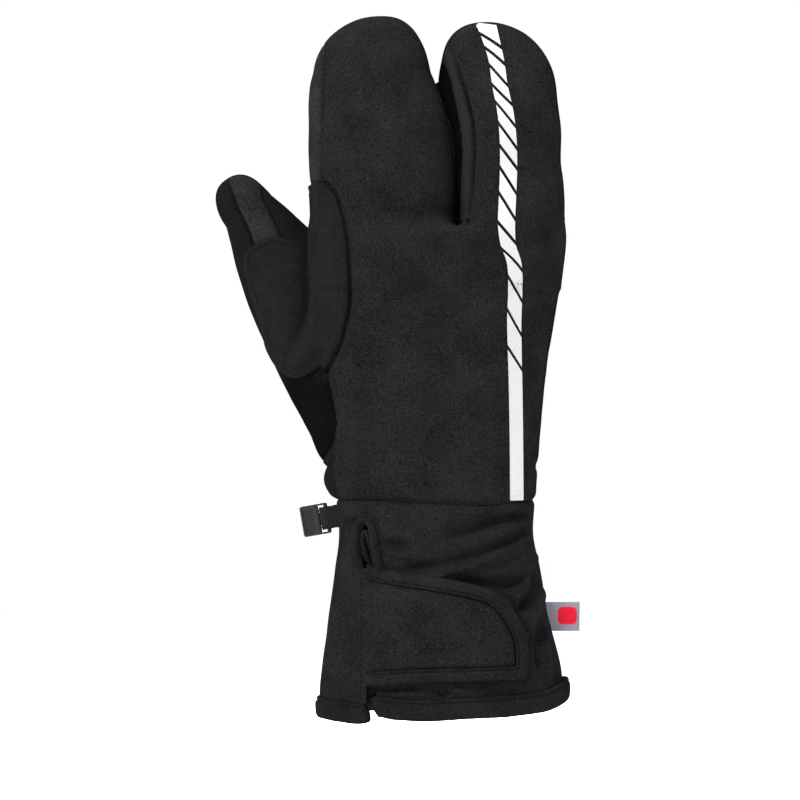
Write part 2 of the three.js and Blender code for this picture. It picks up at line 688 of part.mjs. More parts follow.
const handAndWebClear = handSolid(GAP).add(webSolid(GAP));
const thumbWall = thumbOuter.subtract(thumbInner).subtract(handAndWebClear)
  .subtract(belowGather(GAP));

function makeThumbFrontPanel() {
  return mainBody(thumbWall.intersect(prismXZ(THUMB_FRONT, -FAR, THUMB_FRONT_BACK_Y)));
}

function makeThumbShell() {
  const cutter = prismXZ(widened(THUMB_FRONT, GAP), -FAR, THUMB_FRONT_BACK_Y + GAP);
  return mainBody(thumbWall.subtract(cutter));
}

const PATCH_END = SKIN_START + PATCH_THICKNESS;

function makeThumbPatch() {
  const clear = handSolid(PATCH_END + GAP).add(webSolid(PATCH_END + GAP));
  return mainBody(skin(thumbSolid(PATCH_END), thumbSolid(SKIN_START), THUMB_PATCH,
    THUMB_PATCH_BACK_Y).subtract(clear));
}

function makePalmPatch() {
  const outer = handSolid(PATCH_END).add(webSolid(PATCH_END));
  const inner = handSolid(SKIN_START).add(webSolid(SKIN_START));
  return mainBody(skin(outer, inner, PALM_PATCH, PALM_PATCH_BACK_Y)
    .subtract(thumbSolid(SKIN_START + GAP)));
}

// Pieces of the cuff

function slitCutter(low) {
  const keyhole = curveThrough(KEYHOLE, BINDING_STEPS);
  const outline = [{ x: SLIT_LEFT_X, z: low }, ...keyhole, { x: SLIT_RIGHT_X, z: low }];
  return prismXZ(outline, -FAR, SLIT_BACK_Y);
}

function makeCuffShell() {
  return mainBody(cuffSolid(0, true).subtract(cuffCore()).subtract(slitCutter(-HEM_HEIGHT))
    .subtract(slitBinding(GAP)));
}

function makeCuffFacing() {
  return mainBody(skin(cuffSolid(SKIN_START + PLACKET_THICKNESS, false),
    cuffSolid(SKIN_START, false), PLACKET, 0));
}

// The point of the cuff's outer face, without its folds, that lies at x and z on the back.
function cuffFacePoint(x, z, outset) {
  const section = sectionAt(z);
  const middle = ringMiddle(section);
  const halfX = (section.right - section.left) / 2 + outset;
  const halfY = (section.palm - section.back) / 2 + outset;
  const share = Math.min(1, Math.abs((x - middle.x) / halfX));
  const y = middle.y - halfY * (1 - share ** section.power) ** (1 / section.power);
  return new THREE.Vector3(x, y, z);
}

// A rod of round or oval section along a row of points, with tapered ends.
function rod(points, sides, sizeAt) {
  const rings = points.map((point, i) => {
    const before = points[Math.max(0, i - 1)];
    const after = points[Math.min(points.length - 1, i + 1)];
    const run = after.clone().sub(before).normalize();
    const size = sizeAt(i / (points.length - 1), run, point);
    return Array.from({ length: sides }, (_, k) => {
      const angle = (2 * Math.PI * k) / sides;
      return point.clone().addScaledVector(size.across, size.acrossHalf * Math.cos(angle))
        .addScaledVector(size.up, size.upHalf * Math.sin(angle));
    });
  });
  return loft(rings, points[0], points[points.length - 1]);
}

function slitBinding(grow) {
  const path = curveThrough(KEYHOLE, BINDING_STEPS).map((p) => cuffFacePoint(p.x, p.z, BINDING_OUTSET));
  const band = rod(path, BINDING_SIDES, (t, run, point) => {
    const outward = new THREE.Vector3(point.x, point.y, 0).normalize();
    const up = outward.clone().addScaledVector(run, -outward.dot(run)).normalize();
    return {
      across: run.clone().cross(up),
      up,
      acrossHalf: BINDING_RADIUS + grow,
      upHalf: BINDING_DEPTH + grow,
    };
  });
  return band;
}

function makeSlitGusset() {
  const start = -CUFF_WALL - GAP;
  return mainBody(skin(cuffSolid(start, true), cuffSolid(start - SLIT_GUSSET_THICKNESS, true),
    SLIT_GUSSET, 0));
}

const tabFace = cuffSolid(SKIN_START + TAB_LIFT, false);

function makeClosureTab() {
  const outer = cuffSolid(SKIN_START + TAB_LIFT + TAB_THICKNESS, false);
  const inset = prismXZ(curveThrough(TAB_INNER, TAB_STEPS), -FAR, 0);
  return outer.subtract(tabFace).intersect(inset).intersect(prismXZ(TAB_OUTLINE, -FAR, 0));
}

function makeTabBinding() {
  const outer = cuffSolid(SKIN_START + TAB_LIFT + BINDING_THICKNESS, false);
  const cutter = widened(curveThrough(TAB_INNER, TAB_STEPS), GAP);
  return mainBody(outer.subtract(tabFace).intersect(prismXZ(TAB_OUTLINE, -FAR, 0))
    .subtract(prismXZ(cutter, -FAR, 0)));
}

function makeHemBand() {
  const section = sectionAt(0);
  const middle = ringMiddle(section);
  const endAngle = (x) => {
    const share = (x - middle.x) / ((section.right - section.left) / 2 + HEM_OUTSET);
    const c = Math.sign(share) * Math.abs(share) ** (section.power / 2);
    return 2 * Math.PI - Math.acos(c);
  };
  const start = endAngle(SLIT_RIGHT_X) - 2 * Math.PI;
  const end = endAngle(SLIT_LEFT_X);
  const points = [];
  for (let i = 0; i <= HEM_STEPS; i++) {
    const angle = lerp(start, end, i / HEM_STEPS);
    const c = Math.cos(angle);
    const s = Math.sin(angle);
    const bend = 2 / section.power;
    points.push(new THREE.Vector3(
      middle.x + ((section.right - section.left) / 2 + HEM_OUTSET) * Math.sign(c) * Math.abs(c) ** bend,
      middle.y + ((section.palm - section.back) / 2 + HEM_OUTSET) * Math.sign(s) * Math.abs(s) ** bend,
      hemCentreZ(angle),
    ));
  }
  const up = new THREE.Vector3(0, 0, 1);
  return rod(points, HEM_SIDES, (t, run) => ({
    across: new THREE.Vector3(run.y, -run.x, 0).normalize(),
    up,
    acrossHalf: HEM_THICKNESS / 2,
    upHalf: HEM_HEIGHT / 2,
  }));
}

// The clip and its webbing are drawn flat, then turned and set at the wrist.

function atClip(geometry) {
  geometry.applyMatrix4(new THREE.Matrix4().makeRotationY(CLIP_TURN));
  geometry.translate(CLIP_CENTRE.x, CLIP_CENTRE.y, CLIP_CENTRE.z);
  return toSolid(geometry);
}

// A prism whose outline lies across the clip, in X and Y, standing along Z.
function standing(outline, height) {
  const shape = new THREE.Shape(outline);
  const geometry = new THREE.ExtrudeGeometry(shape, { depth: height, bevelEnabled: false });
  geometry.translate(0, 0, -height / 2);
  return atClip(geometry);
}

function makeClip() {
  const halfL = CLIP_LENGTH / 2;
  const halfH = CLIP_HEIGHT / 2;
  const frame = new THREE.Shape([
    new THREE.Vector2(-halfL, -halfH), new THREE.Vector2(halfL, -halfH),
    new THREE.Vector2(halfL, halfH), new THREE.Vector2(-halfL, halfH),
  ]);
  const windowRight = halfL - CLIP_BAR;
  const windowTop = halfH - CLIP_RAIL;
  frame.holes.push(new THREE.Path([
    new THREE.Vector2(windowRight, -windowTop), new THREE.Vector2(windowRight, windowTop),
    new THREE.Vector2(windowRight - CLIP_WINDOW, windowTop),
    new THREE.Vector2(windowRight - CLIP_WINDOW, -windowTop),
  ]));
  const plate = new THREE.ExtrudeGeometry(frame, { depth: CLIP_THICKNESS, bevelEnabled: false });
  plate.translate(0, 0, -CLIP_THICKNESS / 2);
  plate.rotateX(Math.PI / 2);
  const front = CLIP_THICKNESS / 2;
  const back = front + HOOK_GAP + HOOK_THICKNESS;
  const hook = [
    new THREE.Vector2(-halfL, 0), new THREE.Vector2(-halfL, back),
    new THREE.Vector2(-halfL + HOOK_REACH, back),
    new THREE.Vector2(-halfL + HOOK_REACH, back - HOOK_THICKNESS),
    new THREE.Vector2(-halfL + HOOK_THICKNESS, back - HOOK_THICKNESS),
    new THREE.Vector2(-halfL + HOOK_THICKNESS, 0),
  ];
  return atClip(plate).add(standing(hook, CLIP_HEIGHT - 2 * CLIP_RAIL));
}

function makeClipWebbing() {
  const innerHalf = CLIP_THICKNESS / 2 + GAP;
  const outerHalf = innerHalf + WEBBING_THICKNESS;
  const bend = CLIP_LENGTH / 2 - CLIP_BAR + BEND_CLEARANCE;
  const outline = [new THREE.Vector2(WEBBING_REACH, -outerHalf)];
  const arc = (radius, from, to) => {
    for (let i = 0; i <= WEBBING_ARC_STEPS; i++) {
      const angle = lerp(from, to, i / WEBBING_ARC_STEPS);
      outline.push(new THREE.Vector2(bend + radius * Math.cos(angle), radius * Math.sin(angle)));
    }
  };
  arc(outerHalf, 1.5 * Math.PI, 0.5 * Math.PI);
  outline.push(new THREE.Vector2(WEBBING_REACH, outerHalf));
  outline.push(new THREE.Vector2(WEBBING_REACH, innerHalf));
  arc(innerHalf, 0.5 * Math.PI, 1.5 * Math.PI);
  outline.push(new THREE.Vector2(WEBBING_REACH, -innerHalf));
  const loop = standing(outline, WEBBING_WIDTH);
  return loop.subtract(cuffSolid(GAP, false));
}

function makeSideLabel() {
  const half = LABEL.thickness / 2;
  const outline = [
    { x: LABEL.left, z: LABEL.low }, { x: LABEL.right, z: LABEL.low },
    { x: LABEL.right, z: LABEL.high }, { x: LABEL.left, z: LABEL.high },
  ];
  return mainBody(prismXZ(outline, -half, half).subtract(cuffSolid(GAP, false)));
}

// The stripe: one thin skin over the back, cut by slashes into tiles.

function stripeEdge(z, side) {
  return { x: along(STRIPE_PATH, 'x', z) + side * along(STRIPE_PATH, 'half', z), z };
}

function slashAt(index) {
  const steps = index * FIRST_SLASH_STEP + (SLASH_STEP_GROWTH * index * (index - 1)) / 2;
  const left = FIRST_SLASH_Z - steps;
  return { left, right: left - Math.min(SLASH_DROP_MOST,
    SLASH_DROP + SLASH_DROP_GROWTH * index) };
}

const stripeSkin = handSolid(SKIN_START + STRIPE_THICKNESS).subtract(handSolid(SKIN_START));

function makeStripeTile(index) {
  const above = index === 0 ? null : slashAt(index - 1);
  const below = index === SLASH_COUNT ? null : slashAt(index);
  const shift = SLASH_WIDTH / 2;
  const topLeft = above ? above.left - shift : STRIPE_TOP_Z;
  const topRight = above ? above.right - shift : STRIPE_TOP_Z;
  const lowLeft = below ? below.left + shift : STRIPE_FOOT_Z;
  const lowRight = below ? below.right + shift : STRIPE_FOOT_Z;
  const steps = index === SLASH_COUNT ? LAST_TILE_STEPS : TILE_STEPS;
  const outline = [];
  for (let i = 0; i <= steps; i++) outline.push(stripeEdge(lerp(topLeft, lowLeft, i / steps), -1));
  for (let i = steps; i >= 0; i--) outline.push(stripeEdge(lerp(topRight, lowRight, i / steps), 1));
  return mainBody(stripeSkin.intersect(prismXZ(outline, -FAR, 0)));
}

// Finishes

const finish = (color, roughness) => new THREE.MeshStandardMaterial({ color, roughness, metalness: 0 });
const softshell = finish(0x1b1b1d, 0.85);
const smoothCloth = finish(0x141416, 0.75);
const suede = finish(0x1d1b1b, 0.95);
const reflective = finish(0xeeeeee, 0.45);
const plastic = finish(0x19191b, 0.4);
const webbing = finish(0x151517, 0.8);
const labelCloth = finish(0x6d6a72, 0.8);

// The glove

const group = new THREE.Group();

function place(name, shape, material) {
  const geometry = shape.isBufferGeometry ? shape : mainBody(shape);
  const mesh = new THREE.Mesh(geometry, material);
  mesh.name = name;
  group.add(mesh);
}

place('back_panel', makeBackPanel(), softshell);
place('palm_panel', makePalmPanel(), smoothCloth);
place('index_side_wall', makeIndexSideWall(), softshell);
place('finger_gusset', makeFingerGusset(), smoothCloth);
place('wrist_gather', makeWristGather(), smoothCloth);
place('thumb_shell', makeThumbShell(), smoothCloth);
place('thumb_front_panel', makeThumbFrontPanel(), softshell);
place('thumb_patch', makeThumbPatch(), suede);
place('palm_patch', makePalmPatch(), suede);
place('cuff_shell', makeCuffShell(), softshell);
place('cuff_facing', makeCuffFacing(), softshell);
place('slit_binding', slitBinding(0), softshell);
place('slit_gusset', makeSlitGusset(), smoothCloth);
place('closure_tab', makeClosureTab(), softshell);
place('tab_binding', makeTabBinding(), softshell);
place('hem_band', makeHemBand(), softshell);
place('clip', makeClip(), plastic);
place('clip_webbing', makeClipWebbing(), webbing);
place('side_label', makeSideLabel(), labelCloth);
for (let i = 0; i <= SLASH_COUNT; i++) {
  place(`stripe_${String(i + 1).padStart(2, '0')}`, makeStripeTile(i), reflective);
}

export default group;
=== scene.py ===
# %% [markdown]
# This notebook dresses a padded winter cycling glove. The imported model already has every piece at
# its real size; here each one gets the surface that a maker would recognise: quilted softshell,
# a suede crotch, a rolled hem, stitches, a draped tab, a plastic clip and a reflective stripe.
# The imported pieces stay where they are, and each new piece takes the place of one or more of them.

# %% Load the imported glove
import json
import math

import bpy
import numpy as np
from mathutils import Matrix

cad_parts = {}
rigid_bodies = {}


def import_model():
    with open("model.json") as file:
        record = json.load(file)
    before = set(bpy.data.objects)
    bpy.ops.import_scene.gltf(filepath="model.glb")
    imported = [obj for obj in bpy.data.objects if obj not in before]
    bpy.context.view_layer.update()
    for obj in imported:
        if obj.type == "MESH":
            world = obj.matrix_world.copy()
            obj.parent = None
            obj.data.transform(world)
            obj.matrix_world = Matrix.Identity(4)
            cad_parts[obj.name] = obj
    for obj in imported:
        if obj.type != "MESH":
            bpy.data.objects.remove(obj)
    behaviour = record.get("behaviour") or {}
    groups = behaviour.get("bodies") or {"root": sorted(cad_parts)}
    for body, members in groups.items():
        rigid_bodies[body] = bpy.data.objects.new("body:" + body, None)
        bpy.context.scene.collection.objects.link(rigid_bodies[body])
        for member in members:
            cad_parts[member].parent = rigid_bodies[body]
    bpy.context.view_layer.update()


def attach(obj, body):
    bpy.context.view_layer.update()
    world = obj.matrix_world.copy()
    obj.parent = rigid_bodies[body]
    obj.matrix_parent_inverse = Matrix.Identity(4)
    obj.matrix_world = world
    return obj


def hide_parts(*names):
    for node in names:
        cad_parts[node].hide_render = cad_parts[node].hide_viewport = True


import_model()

import openvdb as vdb
from mathutils import Vector, noise
from mathutils.bvhtree import BVHTree
from mathutils.kdtree import KDTree

MM = 0.001

# %% [markdown]
# Sizes come first. A pattern cutter draws a glove as cross-sections and seam lines, so the same is
# done here: each table has one row for each section, in millimetres. The hand and cuff share the
# first one. "power" says how square a section is: 2 is an ellipse, and more is squarer.

# %% Sections of the hand, the finger lobes, the thumb and its web
SLEEVE = {
    "z": (-8, 0, 20, 40, 60, 76, 88.5, 100, 120, 140, 160, 180, 200, 214),
    "left": (
        -51, -50.3, -48.9, -46.3, -43.7, -42.2, -43.6, -44.8, -46.8, -49.2, -51.6, -52.3, -52.4, -52.4,
    ),
    "right": (51, 50, 47.8, 42.9, 39.9, 36.6, 37.4, 38.2, 39.6, 41.6, 44.8, 47.5, 48.6, 48.6),
    "back": (-38, -37, -35, -32.5, -29.5, -27, -25.5, -24.5, -24, -24, -24, -23.5, -22, -19),
    "palm": (37, 36, 34, 31.5, 29, 27, 25.5, 25, 25, 25.5, 25, 24, 23.5, 23.5),
    "power": (2.1, 2.1, 2.1, 2.1, 2.1, 2.2, 2.3, 2.3, 2.4, 2.4, 2.5, 2.6, 2.8, 2.8),
}
INDEX_LOBE = {
    "z": (176, 192, 201, 212, 220, 240, 256, 262),
    "left": (-51, -52.3, -52.4, -53, -54, -54.3, -54, -52.9),
    "right": (2.6, 5, 5.5, 5.8, 6, 4.2, -2.3, -4.2),
    "back": (-21.5, -22.8, -21.9, -20, -18.5, -15, -11, -9.6),
    "palm": (22, 23.9, 23.8, 24, 24, 23.5, 22.5, 22.2),
}
RING_LOBE = {
    "z": (176, 192, 201, 220, 240, 252, 262),
    "left": (9.5, 7.6, 6.2, 4.4, 1.8, -1.9, -2.0),
    "right": (45.8, 48.7, 49.2, 49.1, 48.1, 46.5, 46.5),
    "back": (-21.5, -22.8, -21.9, -17, -13.5, -10.4, -8.6),
    "palm": (22, 23.9, 23.8, 24, 24, 23.6, 23.2),
}
INDEX_TIP = {"power": 2.2, "foot": 256, "height": 29.4, "lean_x": 3, "lean_y": 3, "late": 4}
RING_TIP = {"power": 2.3, "foot": 252, "height": 30.8, "lean_x": -4.7, "lean_y": 3, "late": 2}
THUMB = {
    "x": (-33, -42.3, -52.3, -69.5, -79.2),
    "y": (5, 9, 15, 21, 22),
    "z": (127, 148.5, 165.9, 190.5, 206.6),
    "wide": (24, 26, 24.6, 17.2, 11.5),
    "deep": (19, 18, 16, 13.5, 11),
}
THUMB_UP = (-0.574, 0.819)
THUMB_TIP = 16.3
THUMB_LEAN = 0.2
THUMB_ROOT = 26
THUMB_POWER = 2.2
WEB = {
    "z": (146.5, 158, 172),
    "x": (-54.5, -46, -43.6),
    "y": (-1, -3, -3),
    "radius": (8.5, 9, 8),
}
FORK_Z = 200
WRIST_Z = 88.5

# How far, in millimetres, two parts melt into each other where they meet.
FORK_ROUNDING = 7
LOBE_MELT = 5
FORK_MELT = 0.25
WEB_MELT = 4
THUMB_MELT = 1.6
print("sections of the hand and cuff:", len(SLEEVE["z"]))

# %% [markdown]
# Between two rows the surface has to flow, not bend at a corner. A cubic that takes its slope from
# the rows on both sides does that, and it works on whole arrays of heights at once. Two more curves are
# used all over this notebook: a soft step from 0 to 1, and a bell that is 1 on a line and dies away
# on both sides of it.

# %% A smooth column: a table's values at any height
def column(table, key, at, axis="z"):
    stops = np.asarray(table[axis], float)
    values = np.asarray(table[key], float)
    slopes = np.gradient(values, stops)
    at = np.clip(at, stops[0], stops[-1])
    i = np.clip(np.searchsorted(stops, at, side="right") - 1, 0, len(stops) - 2)
    span = stops[i + 1] - stops[i]
    t = (at - stops[i]) / span
    low = (2 * t**3 - 3 * t**2 + 1) * values[i] + (t**3 - 2 * t**2 + t) * span * slopes[i]
    high = (3 * t**2 - 2 * t**3) * values[i + 1] + (t**3 - t**2) * span * slopes[i + 1]
    return low + high


def smoothstep(low, high, value):
    t = np.clip((value - low) / (high - low), 0, 1)
    return t * t * (3 - 2 * t)


def bell(away, width):
    return np.exp(-((away / width) ** 2))


hand_width = float(column(SLEEVE, "right", WRIST_Z) - column(SLEEVE, "left", WRIST_Z))
print("width at the wrist:", round(hand_width, 1), "mm")


# %% [markdown]
# A padded glove has no sharp joins between the palm, the finger lobes and the thumb. Polygons are
# awkward there, so the body starts as a field instead: a number at each point of space that is
# below one inside the glove and above one outside. Each part has its own field, and a soft minimum
# melts them together where the real padding does.

# %% The fields of the parts
def tube_field(x, y, z, table, tip=None):
    left, right, back, palm = (column(table, key, z) for key in ("left", "right", "back", "palm"))
    power = column(table, "power", z) if tip is None else tip["power"]
    over, lean_x, lean_y = 0, 0, 0
    if tip is not None:
        over = np.maximum(z - tip["foot"], 0) / tip["height"]
        lean_x = tip["lean_x"] * np.minimum(over, 1) ** tip["late"]
        lean_y = tip["lean_y"] * np.minimum(over, 1)
    across = np.abs(x - (left + right) / 2 - lean_x) / ((right - left) / 2)
    deep = np.abs(y - (back + palm) / 2 - lean_y) / ((palm - back) / 2)
    return (across**power + deep**power + over**power) ** (1 / power)


def thumb_field(x, y, z):
    along_x, along_z = THUMB_UP
    steps = np.array(THUMB["x"]) * along_x + np.array(THUMB["z"]) * along_z
    offsets = np.array(THUMB["x"]) * along_z - np.array(THUMB["z"]) * along_x
    spine = {"s": steps, "offset": offsets, **{key: THUMB[key] for key in ("y", "wide", "deep")}}
    s = x * along_x + z * along_z
    w = x * along_z - z * along_x
    over_tip = np.maximum(s - steps[-1], 0) / THUMB_TIP
    over = over_tip + np.maximum(steps[0] - s, 0) / THUMB_ROOT
    w = w - THUMB_LEAN * np.minimum(over_tip, 1)
    across = (w - column(spine, "offset", s, "s")) / column(spine, "wide", s, "s")
    deep = (y - column(spine, "y", s, "s")) / column(spine, "deep", s, "s")
    total = np.abs(across) ** THUMB_POWER + np.abs(deep) ** THUMB_POWER + over**THUMB_POWER
    return total ** (1 / THUMB_POWER)


def web_field(x, y, z):
    radius = column(WEB, "radius", z)
    over = np.maximum(z - WEB["z"][-1], 0) + np.maximum(WEB["z"][0] - z, 0)
    return np.sqrt((x - column(WEB, "x", z)) ** 2 + (y - column(WEB, "y", z)) ** 2 + over**2) / radius


def to_distance(field, x, y, z, step=0.05):
    """Turns a field into millimetres from its surface, by dividing by how fast it grows."""
    here = field(x, y, z)
    slope_x = (field(x + step, y, z) - here) / step
    slope_y = (field(x, y + step, z) - here) / step
    slope_z = (field(x, y, z + step) - here) / step
    return (here - 1) / np.maximum(np.sqrt(slope_x**2 + slope_y**2 + slope_z**2), 1e-4)


def soft_min(a, b, reach):
    near = np.maximum(reach - np.abs(a - b), 0) / reach
    return np.minimum(a, b) - near**2 * reach / 4


def lobe_distance(x, y, z, table, tip):
    lobe = to_distance(lambda *p: tube_field(*p, table, tip), x, y, z)
    return np.maximum(lobe, table["z"][0] - z)


def hand_distance(x, y, z):
    sleeve = to_distance(lambda *p: tube_field(*p, SLEEVE), x, y, z)
    sleeve = -soft_min(-sleeve, FORK_Z - z, FORK_ROUNDING)
    index_side = soft_min(sleeve, lobe_distance(x, y, z, INDEX_LOBE, INDEX_TIP), LOBE_MELT)
    ring_side = soft_min(sleeve, lobe_distance(x, y, z, RING_LOBE, RING_TIP), LOBE_MELT)
    web = to_distance(web_field, x, y, z)
    return soft_min(soft_min(index_side, ring_side, FORK_MELT), web, WEB_MELT)


def thumb_distance(x, y, z):
    return to_distance(thumb_field, x, y, z)


def body_distance(x, y, z):
    return soft_min(hand_distance(x, y, z), thumb_distance(x, y, z), THUMB_MELT)


palm_middle = body_distance(*np.array([[0.0], [0.0], [150.0]]))
print("the middle of the palm lies", round(-float(palm_middle[0]), 1), "mm deep")

# %% [markdown]
# Blender's Python carries OpenVDB, which turns a field on a grid into a mesh. One more push along
# the field's slope puts each vertex exactly on the surface, which wipes out the grid's own grain.

# %% Mesh the body
VOXEL = 1.0
BODY_LOW = np.array((-97.0, -33.0, 84.0))
BODY_HIGH = np.array((55.0, 41.0, 290.0))


def mesh_field(distance, low, high, voxel):
    counts = np.ceil((high - low) / voxel).astype(int) + 1
    axes = [low[i] + voxel * np.arange(counts[i]) for i in range(3)]
    x, y, z = np.meshgrid(*axes, indexing="ij", sparse=True)
    values = distance(x, y, z).astype(np.float32)
    grid = vdb.FloatGrid(background=9.0)
    grid.copyFromArray(np.ascontiguousarray(values))
    points, _, quads = grid.convertToPolygons(isovalue=0.0, adaptivity=0.0)
    points = points * voxel + low
    triangles = np.concatenate([quads[:, (0, 1, 2)], quads[:, (0, 2, 3)]]).astype(np.int64)
    return points, triangles


def field_normals(distance, points, step=0.3):
    x, y, z = points.T
    slopes = np.stack([
        distance(x + step, y, z) - distance(x - step, y, z),
        distance(x, y + step, z) - distance(x, y - step, z),
        distance(x, y, z + step) - distance(x, y, z - step),
    ], axis=1)
    return slopes / np.maximum(np.linalg.norm(slopes, axis=1, keepdims=True), 1e-9)


body_points, body_triangles = mesh_field(body_distance, BODY_LOW, BODY_HIGH, VOXEL)
for _ in range(2):
    push = body_distance(*body_points.T)[:, None] * field_normals(body_distance, body_points)
    body_points = body_points - np.clip(push, -0.8, 0.8)
print("body mesh:", len(body_points), "points,", len(body_triangles), "triangles")

# %% [markdown]
# The real glove is cut from flat panels that meet at seams. Here each seam is a value that is zero
# along the seam, so the mesh can be sliced exactly there and the pieces stay one crisp edge apart.

# %% Seam lines and patch outlines, as seen from the back of the hand
LEFT_SEAM = {
    "z": (80, 100, 113, 125, 136, 150, 273, 300),
    "x": (-42.4, -42.4, -44.6, -46.7, -48.1, -48.6, -48.6, -47),
}
RING_FORK_SEAM = {
    "z": (196, 200.7, 213.6, 224, 232.9, 242.6, 253.5, 265.1, 272.8, 285, 300),
    "x": (8.2, 9, 10.7, 11.6, 11.9, 11, 8.4, 4.5, 1.9, -3, -8),
}
FORK_STRIP_EDGE = {
    "z": (196, 213.6, 232.9, 252, 262, 266, 275, 300),
    "x": (6.6, 7.1, 6.8, 3.6, 1.2, -0.6, -6, -16),
}
SIDE_SEAM = {
    "z": (60, 180, 200, 220, 240, 256, 300),
    "y": (-3, -3, -2, 0.5, 2, 4, 8),
}
WRIST_LINE = {
    "x": (-46, -42, -26, -10.5, 4.8, 20.2, 27.5, 38),
    "z": (89.3, 89.3, 89.5, 88.5, 87.8, 87.5, 88.5, 88.9),
}
PALM_PATCH = (
    (-66.5, 213), (-58, 215.8), (-50.5, 216.1), (-45.7, 214.1), (-42.4, 208.1), (-39.2, 193.9),
    (-38, 173.7), (-38.4, 165.6), (-41.6, 151.9), (-47.7, 141.4), (-54.5, 137), (-60.6, 137),
    (-66, 141),
)
THUMB_PATCH = (
    (-80, 189.1), (-75.5, 193.1), (-70.7, 195.1), (-66.3, 195.3), (-59.4, 193.5), (-46, 188),
    (-46, 150), (-56, 139), (-64.4, 139.8), (-71.2, 149.5), (-73.7, 159.6), (-77.2, 169.3),
    (-79.4, 176.8), (-80.8, 184.2),
)
THUMB_FRONT = (
    (-90.5, 226), (-89.5, 221), (-87, 216.9), (-83.4, 207.7), (-79.5, 199.6), (-74.4, 188),
    (-65, 188), (-65.7, 195.9), (-67.5, 200.4), (-70.9, 207.7), (-72.8, 213.7), (-74, 226),
)
FORK_FOOT = 199.8
GATHER_TOP = 102.6
SIDE_WALL_FOOT = 142
SIDE_WALL_DEPTH = 8
GUSSET_PALM_Y = 6
PALM_PATCH_BACK = 16
THUMB_FACE_BACK = 20


def left_of(seam):
    return lambda x, y, z: x - column(seam, "x", z)


def behind_side_seam(x, y, z):
    return y - column(SIDE_SEAM, "y", z)


def above_wrist(x, y, z):
    return z - column(WRIST_LINE, "z", x, "x")


def curve_between(a, b, c, d, t):
    """The part from b to c of a Catmull-Rom curve through four points."""
    square = (2 * a - 5 * b + 4 * c - d) * t**2
    cube = (3 * b - a - 3 * c + d) * t**3
    return 0.5 * (2 * b + (c - a) * t + square + cube)


def rounded(outline, count=8):
    """A closed outline with its corners eased."""
    corners = np.asarray(outline, float)
    t = (np.arange(count) / count)[:, None]
    bends = []
    for i in range(len(corners)):
        a, b, c, d = (corners[(i + k - 1) % len(corners)] for k in range(4))
        bends.append(curve_between(a, b, c, d, t))
    return np.concatenate(bends)


def line_distance(x, z, line, closed=False):
    """Distance to a line of points in X and Z, and how far along the line that is, from 0 to 1."""
    line = np.asarray(line, float)
    ends = np.roll(line, -1, axis=0) if closed else line[1:]
    starts = line if closed else line[:-1]
    nearest = np.full(np.shape(x), 1e9)
    share = np.zeros(np.shape(x))
    for i, ((ax, az), (bx, bz)) in enumerate(zip(starts, ends)):
        run = (bx - ax) ** 2 + (bz - az) ** 2
        t = np.clip(((x - ax) * (bx - ax) + (z - az) * (bz - az)) / max(run, 1e-9), 0, 1)
        away = np.hypot(x - ax - t * (bx - ax), z - az - t * (bz - az))
        closer = away < nearest
        nearest = np.where(closer, away, nearest)
        share = np.where(closer, (i + t) / len(starts), share)
    return nearest, share


def inside_depth(x, z, outline):
    """How far a point lies inside a closed outline; below zero outside it."""
    depth, _ = line_distance(x, z, outline, closed=True)
    inside = np.zeros(np.shape(x), bool)
    for (ax, az), (bx, bz) in zip(outline, np.roll(outline, -1, axis=0)):
        if az != bz:
            inside ^= ((az > z) != (bz > z)) & (x < (bx - ax) * (z - az) / (bz - az) + ax)
    return np.where(inside, depth, -depth)


thumb_front_outline = rounded(THUMB_FRONT)
palm_patch_outline = rounded(PALM_PATCH)
thumb_patch_outline = rounded(THUMB_PATCH)
print("points round the palm patch:", len(palm_patch_outline))

# %% [markdown]
# A mesh made from a field knows nothing of the seams. Blender's own bisect cuts along planes, and
# these seams are curved, so the cut is made here: a triangle with its corners on both sides of a
# seam is split along it. Corners that lie almost on the seam count as on it, which avoids slivers.

# %% Slice a mesh where a value crosses zero
def slice_mesh(points, triangles, value_of, snap=0.18):
    values = np.array(value_of(*points.T), float)
    values[np.abs(values) < snap] = 0
    signs = np.sign(values)
    edges = np.sort(np.stack([triangles, np.roll(triangles, -1, axis=1)], axis=2), axis=2)
    crossing = signs[edges[..., 0]] * signs[edges[..., 1]] < 0
    keys = edges[..., 0] * len(points) + edges[..., 1]
    cut_keys, order = np.unique(keys[crossing], return_inverse=True)
    a, b = cut_keys // len(points), cut_keys % len(points)
    share = (values[a] / (values[a] - values[b]))[:, None]
    middle = np.full(keys.shape, -1)
    middle[crossing] = order.ravel() + len(points)
    points = np.concatenate([points, points[a] + (points[b] - points[a]) * share])
    counts = crossing.sum(axis=1)
    made = [triangles[counts == 0]]
    for turn in range(3):
        corner = np.roll(triangles, -turn, axis=1)
        halfway = np.roll(middle, -turn, axis=1)
        alone = (counts == 2) & (halfway[:, 1] < 0)
        v, m = corner[alone], halfway[alone]
        made.append(np.stack([v[:, 0], m[:, 0], m[:, 2]], axis=1))
        made.append(np.stack([m[:, 0], v[:, 1], v[:, 2]], axis=1))
        made.append(np.stack([m[:, 0], v[:, 2], m[:, 2]], axis=1))
        through = (counts == 1) & (halfway[:, 1] >= 0)
        v, m = corner[through], halfway[through]
        made.append(np.stack([v[:, 0], v[:, 1], m[:, 1]], axis=1))
        made.append(np.stack([v[:, 0], m[:, 1], v[:, 2]], axis=1))
    return points, np.concatenate(made)


def in_crease(x, y, z):
    return hand_distance(x, y, z) - thumb_distance(x, y, z)


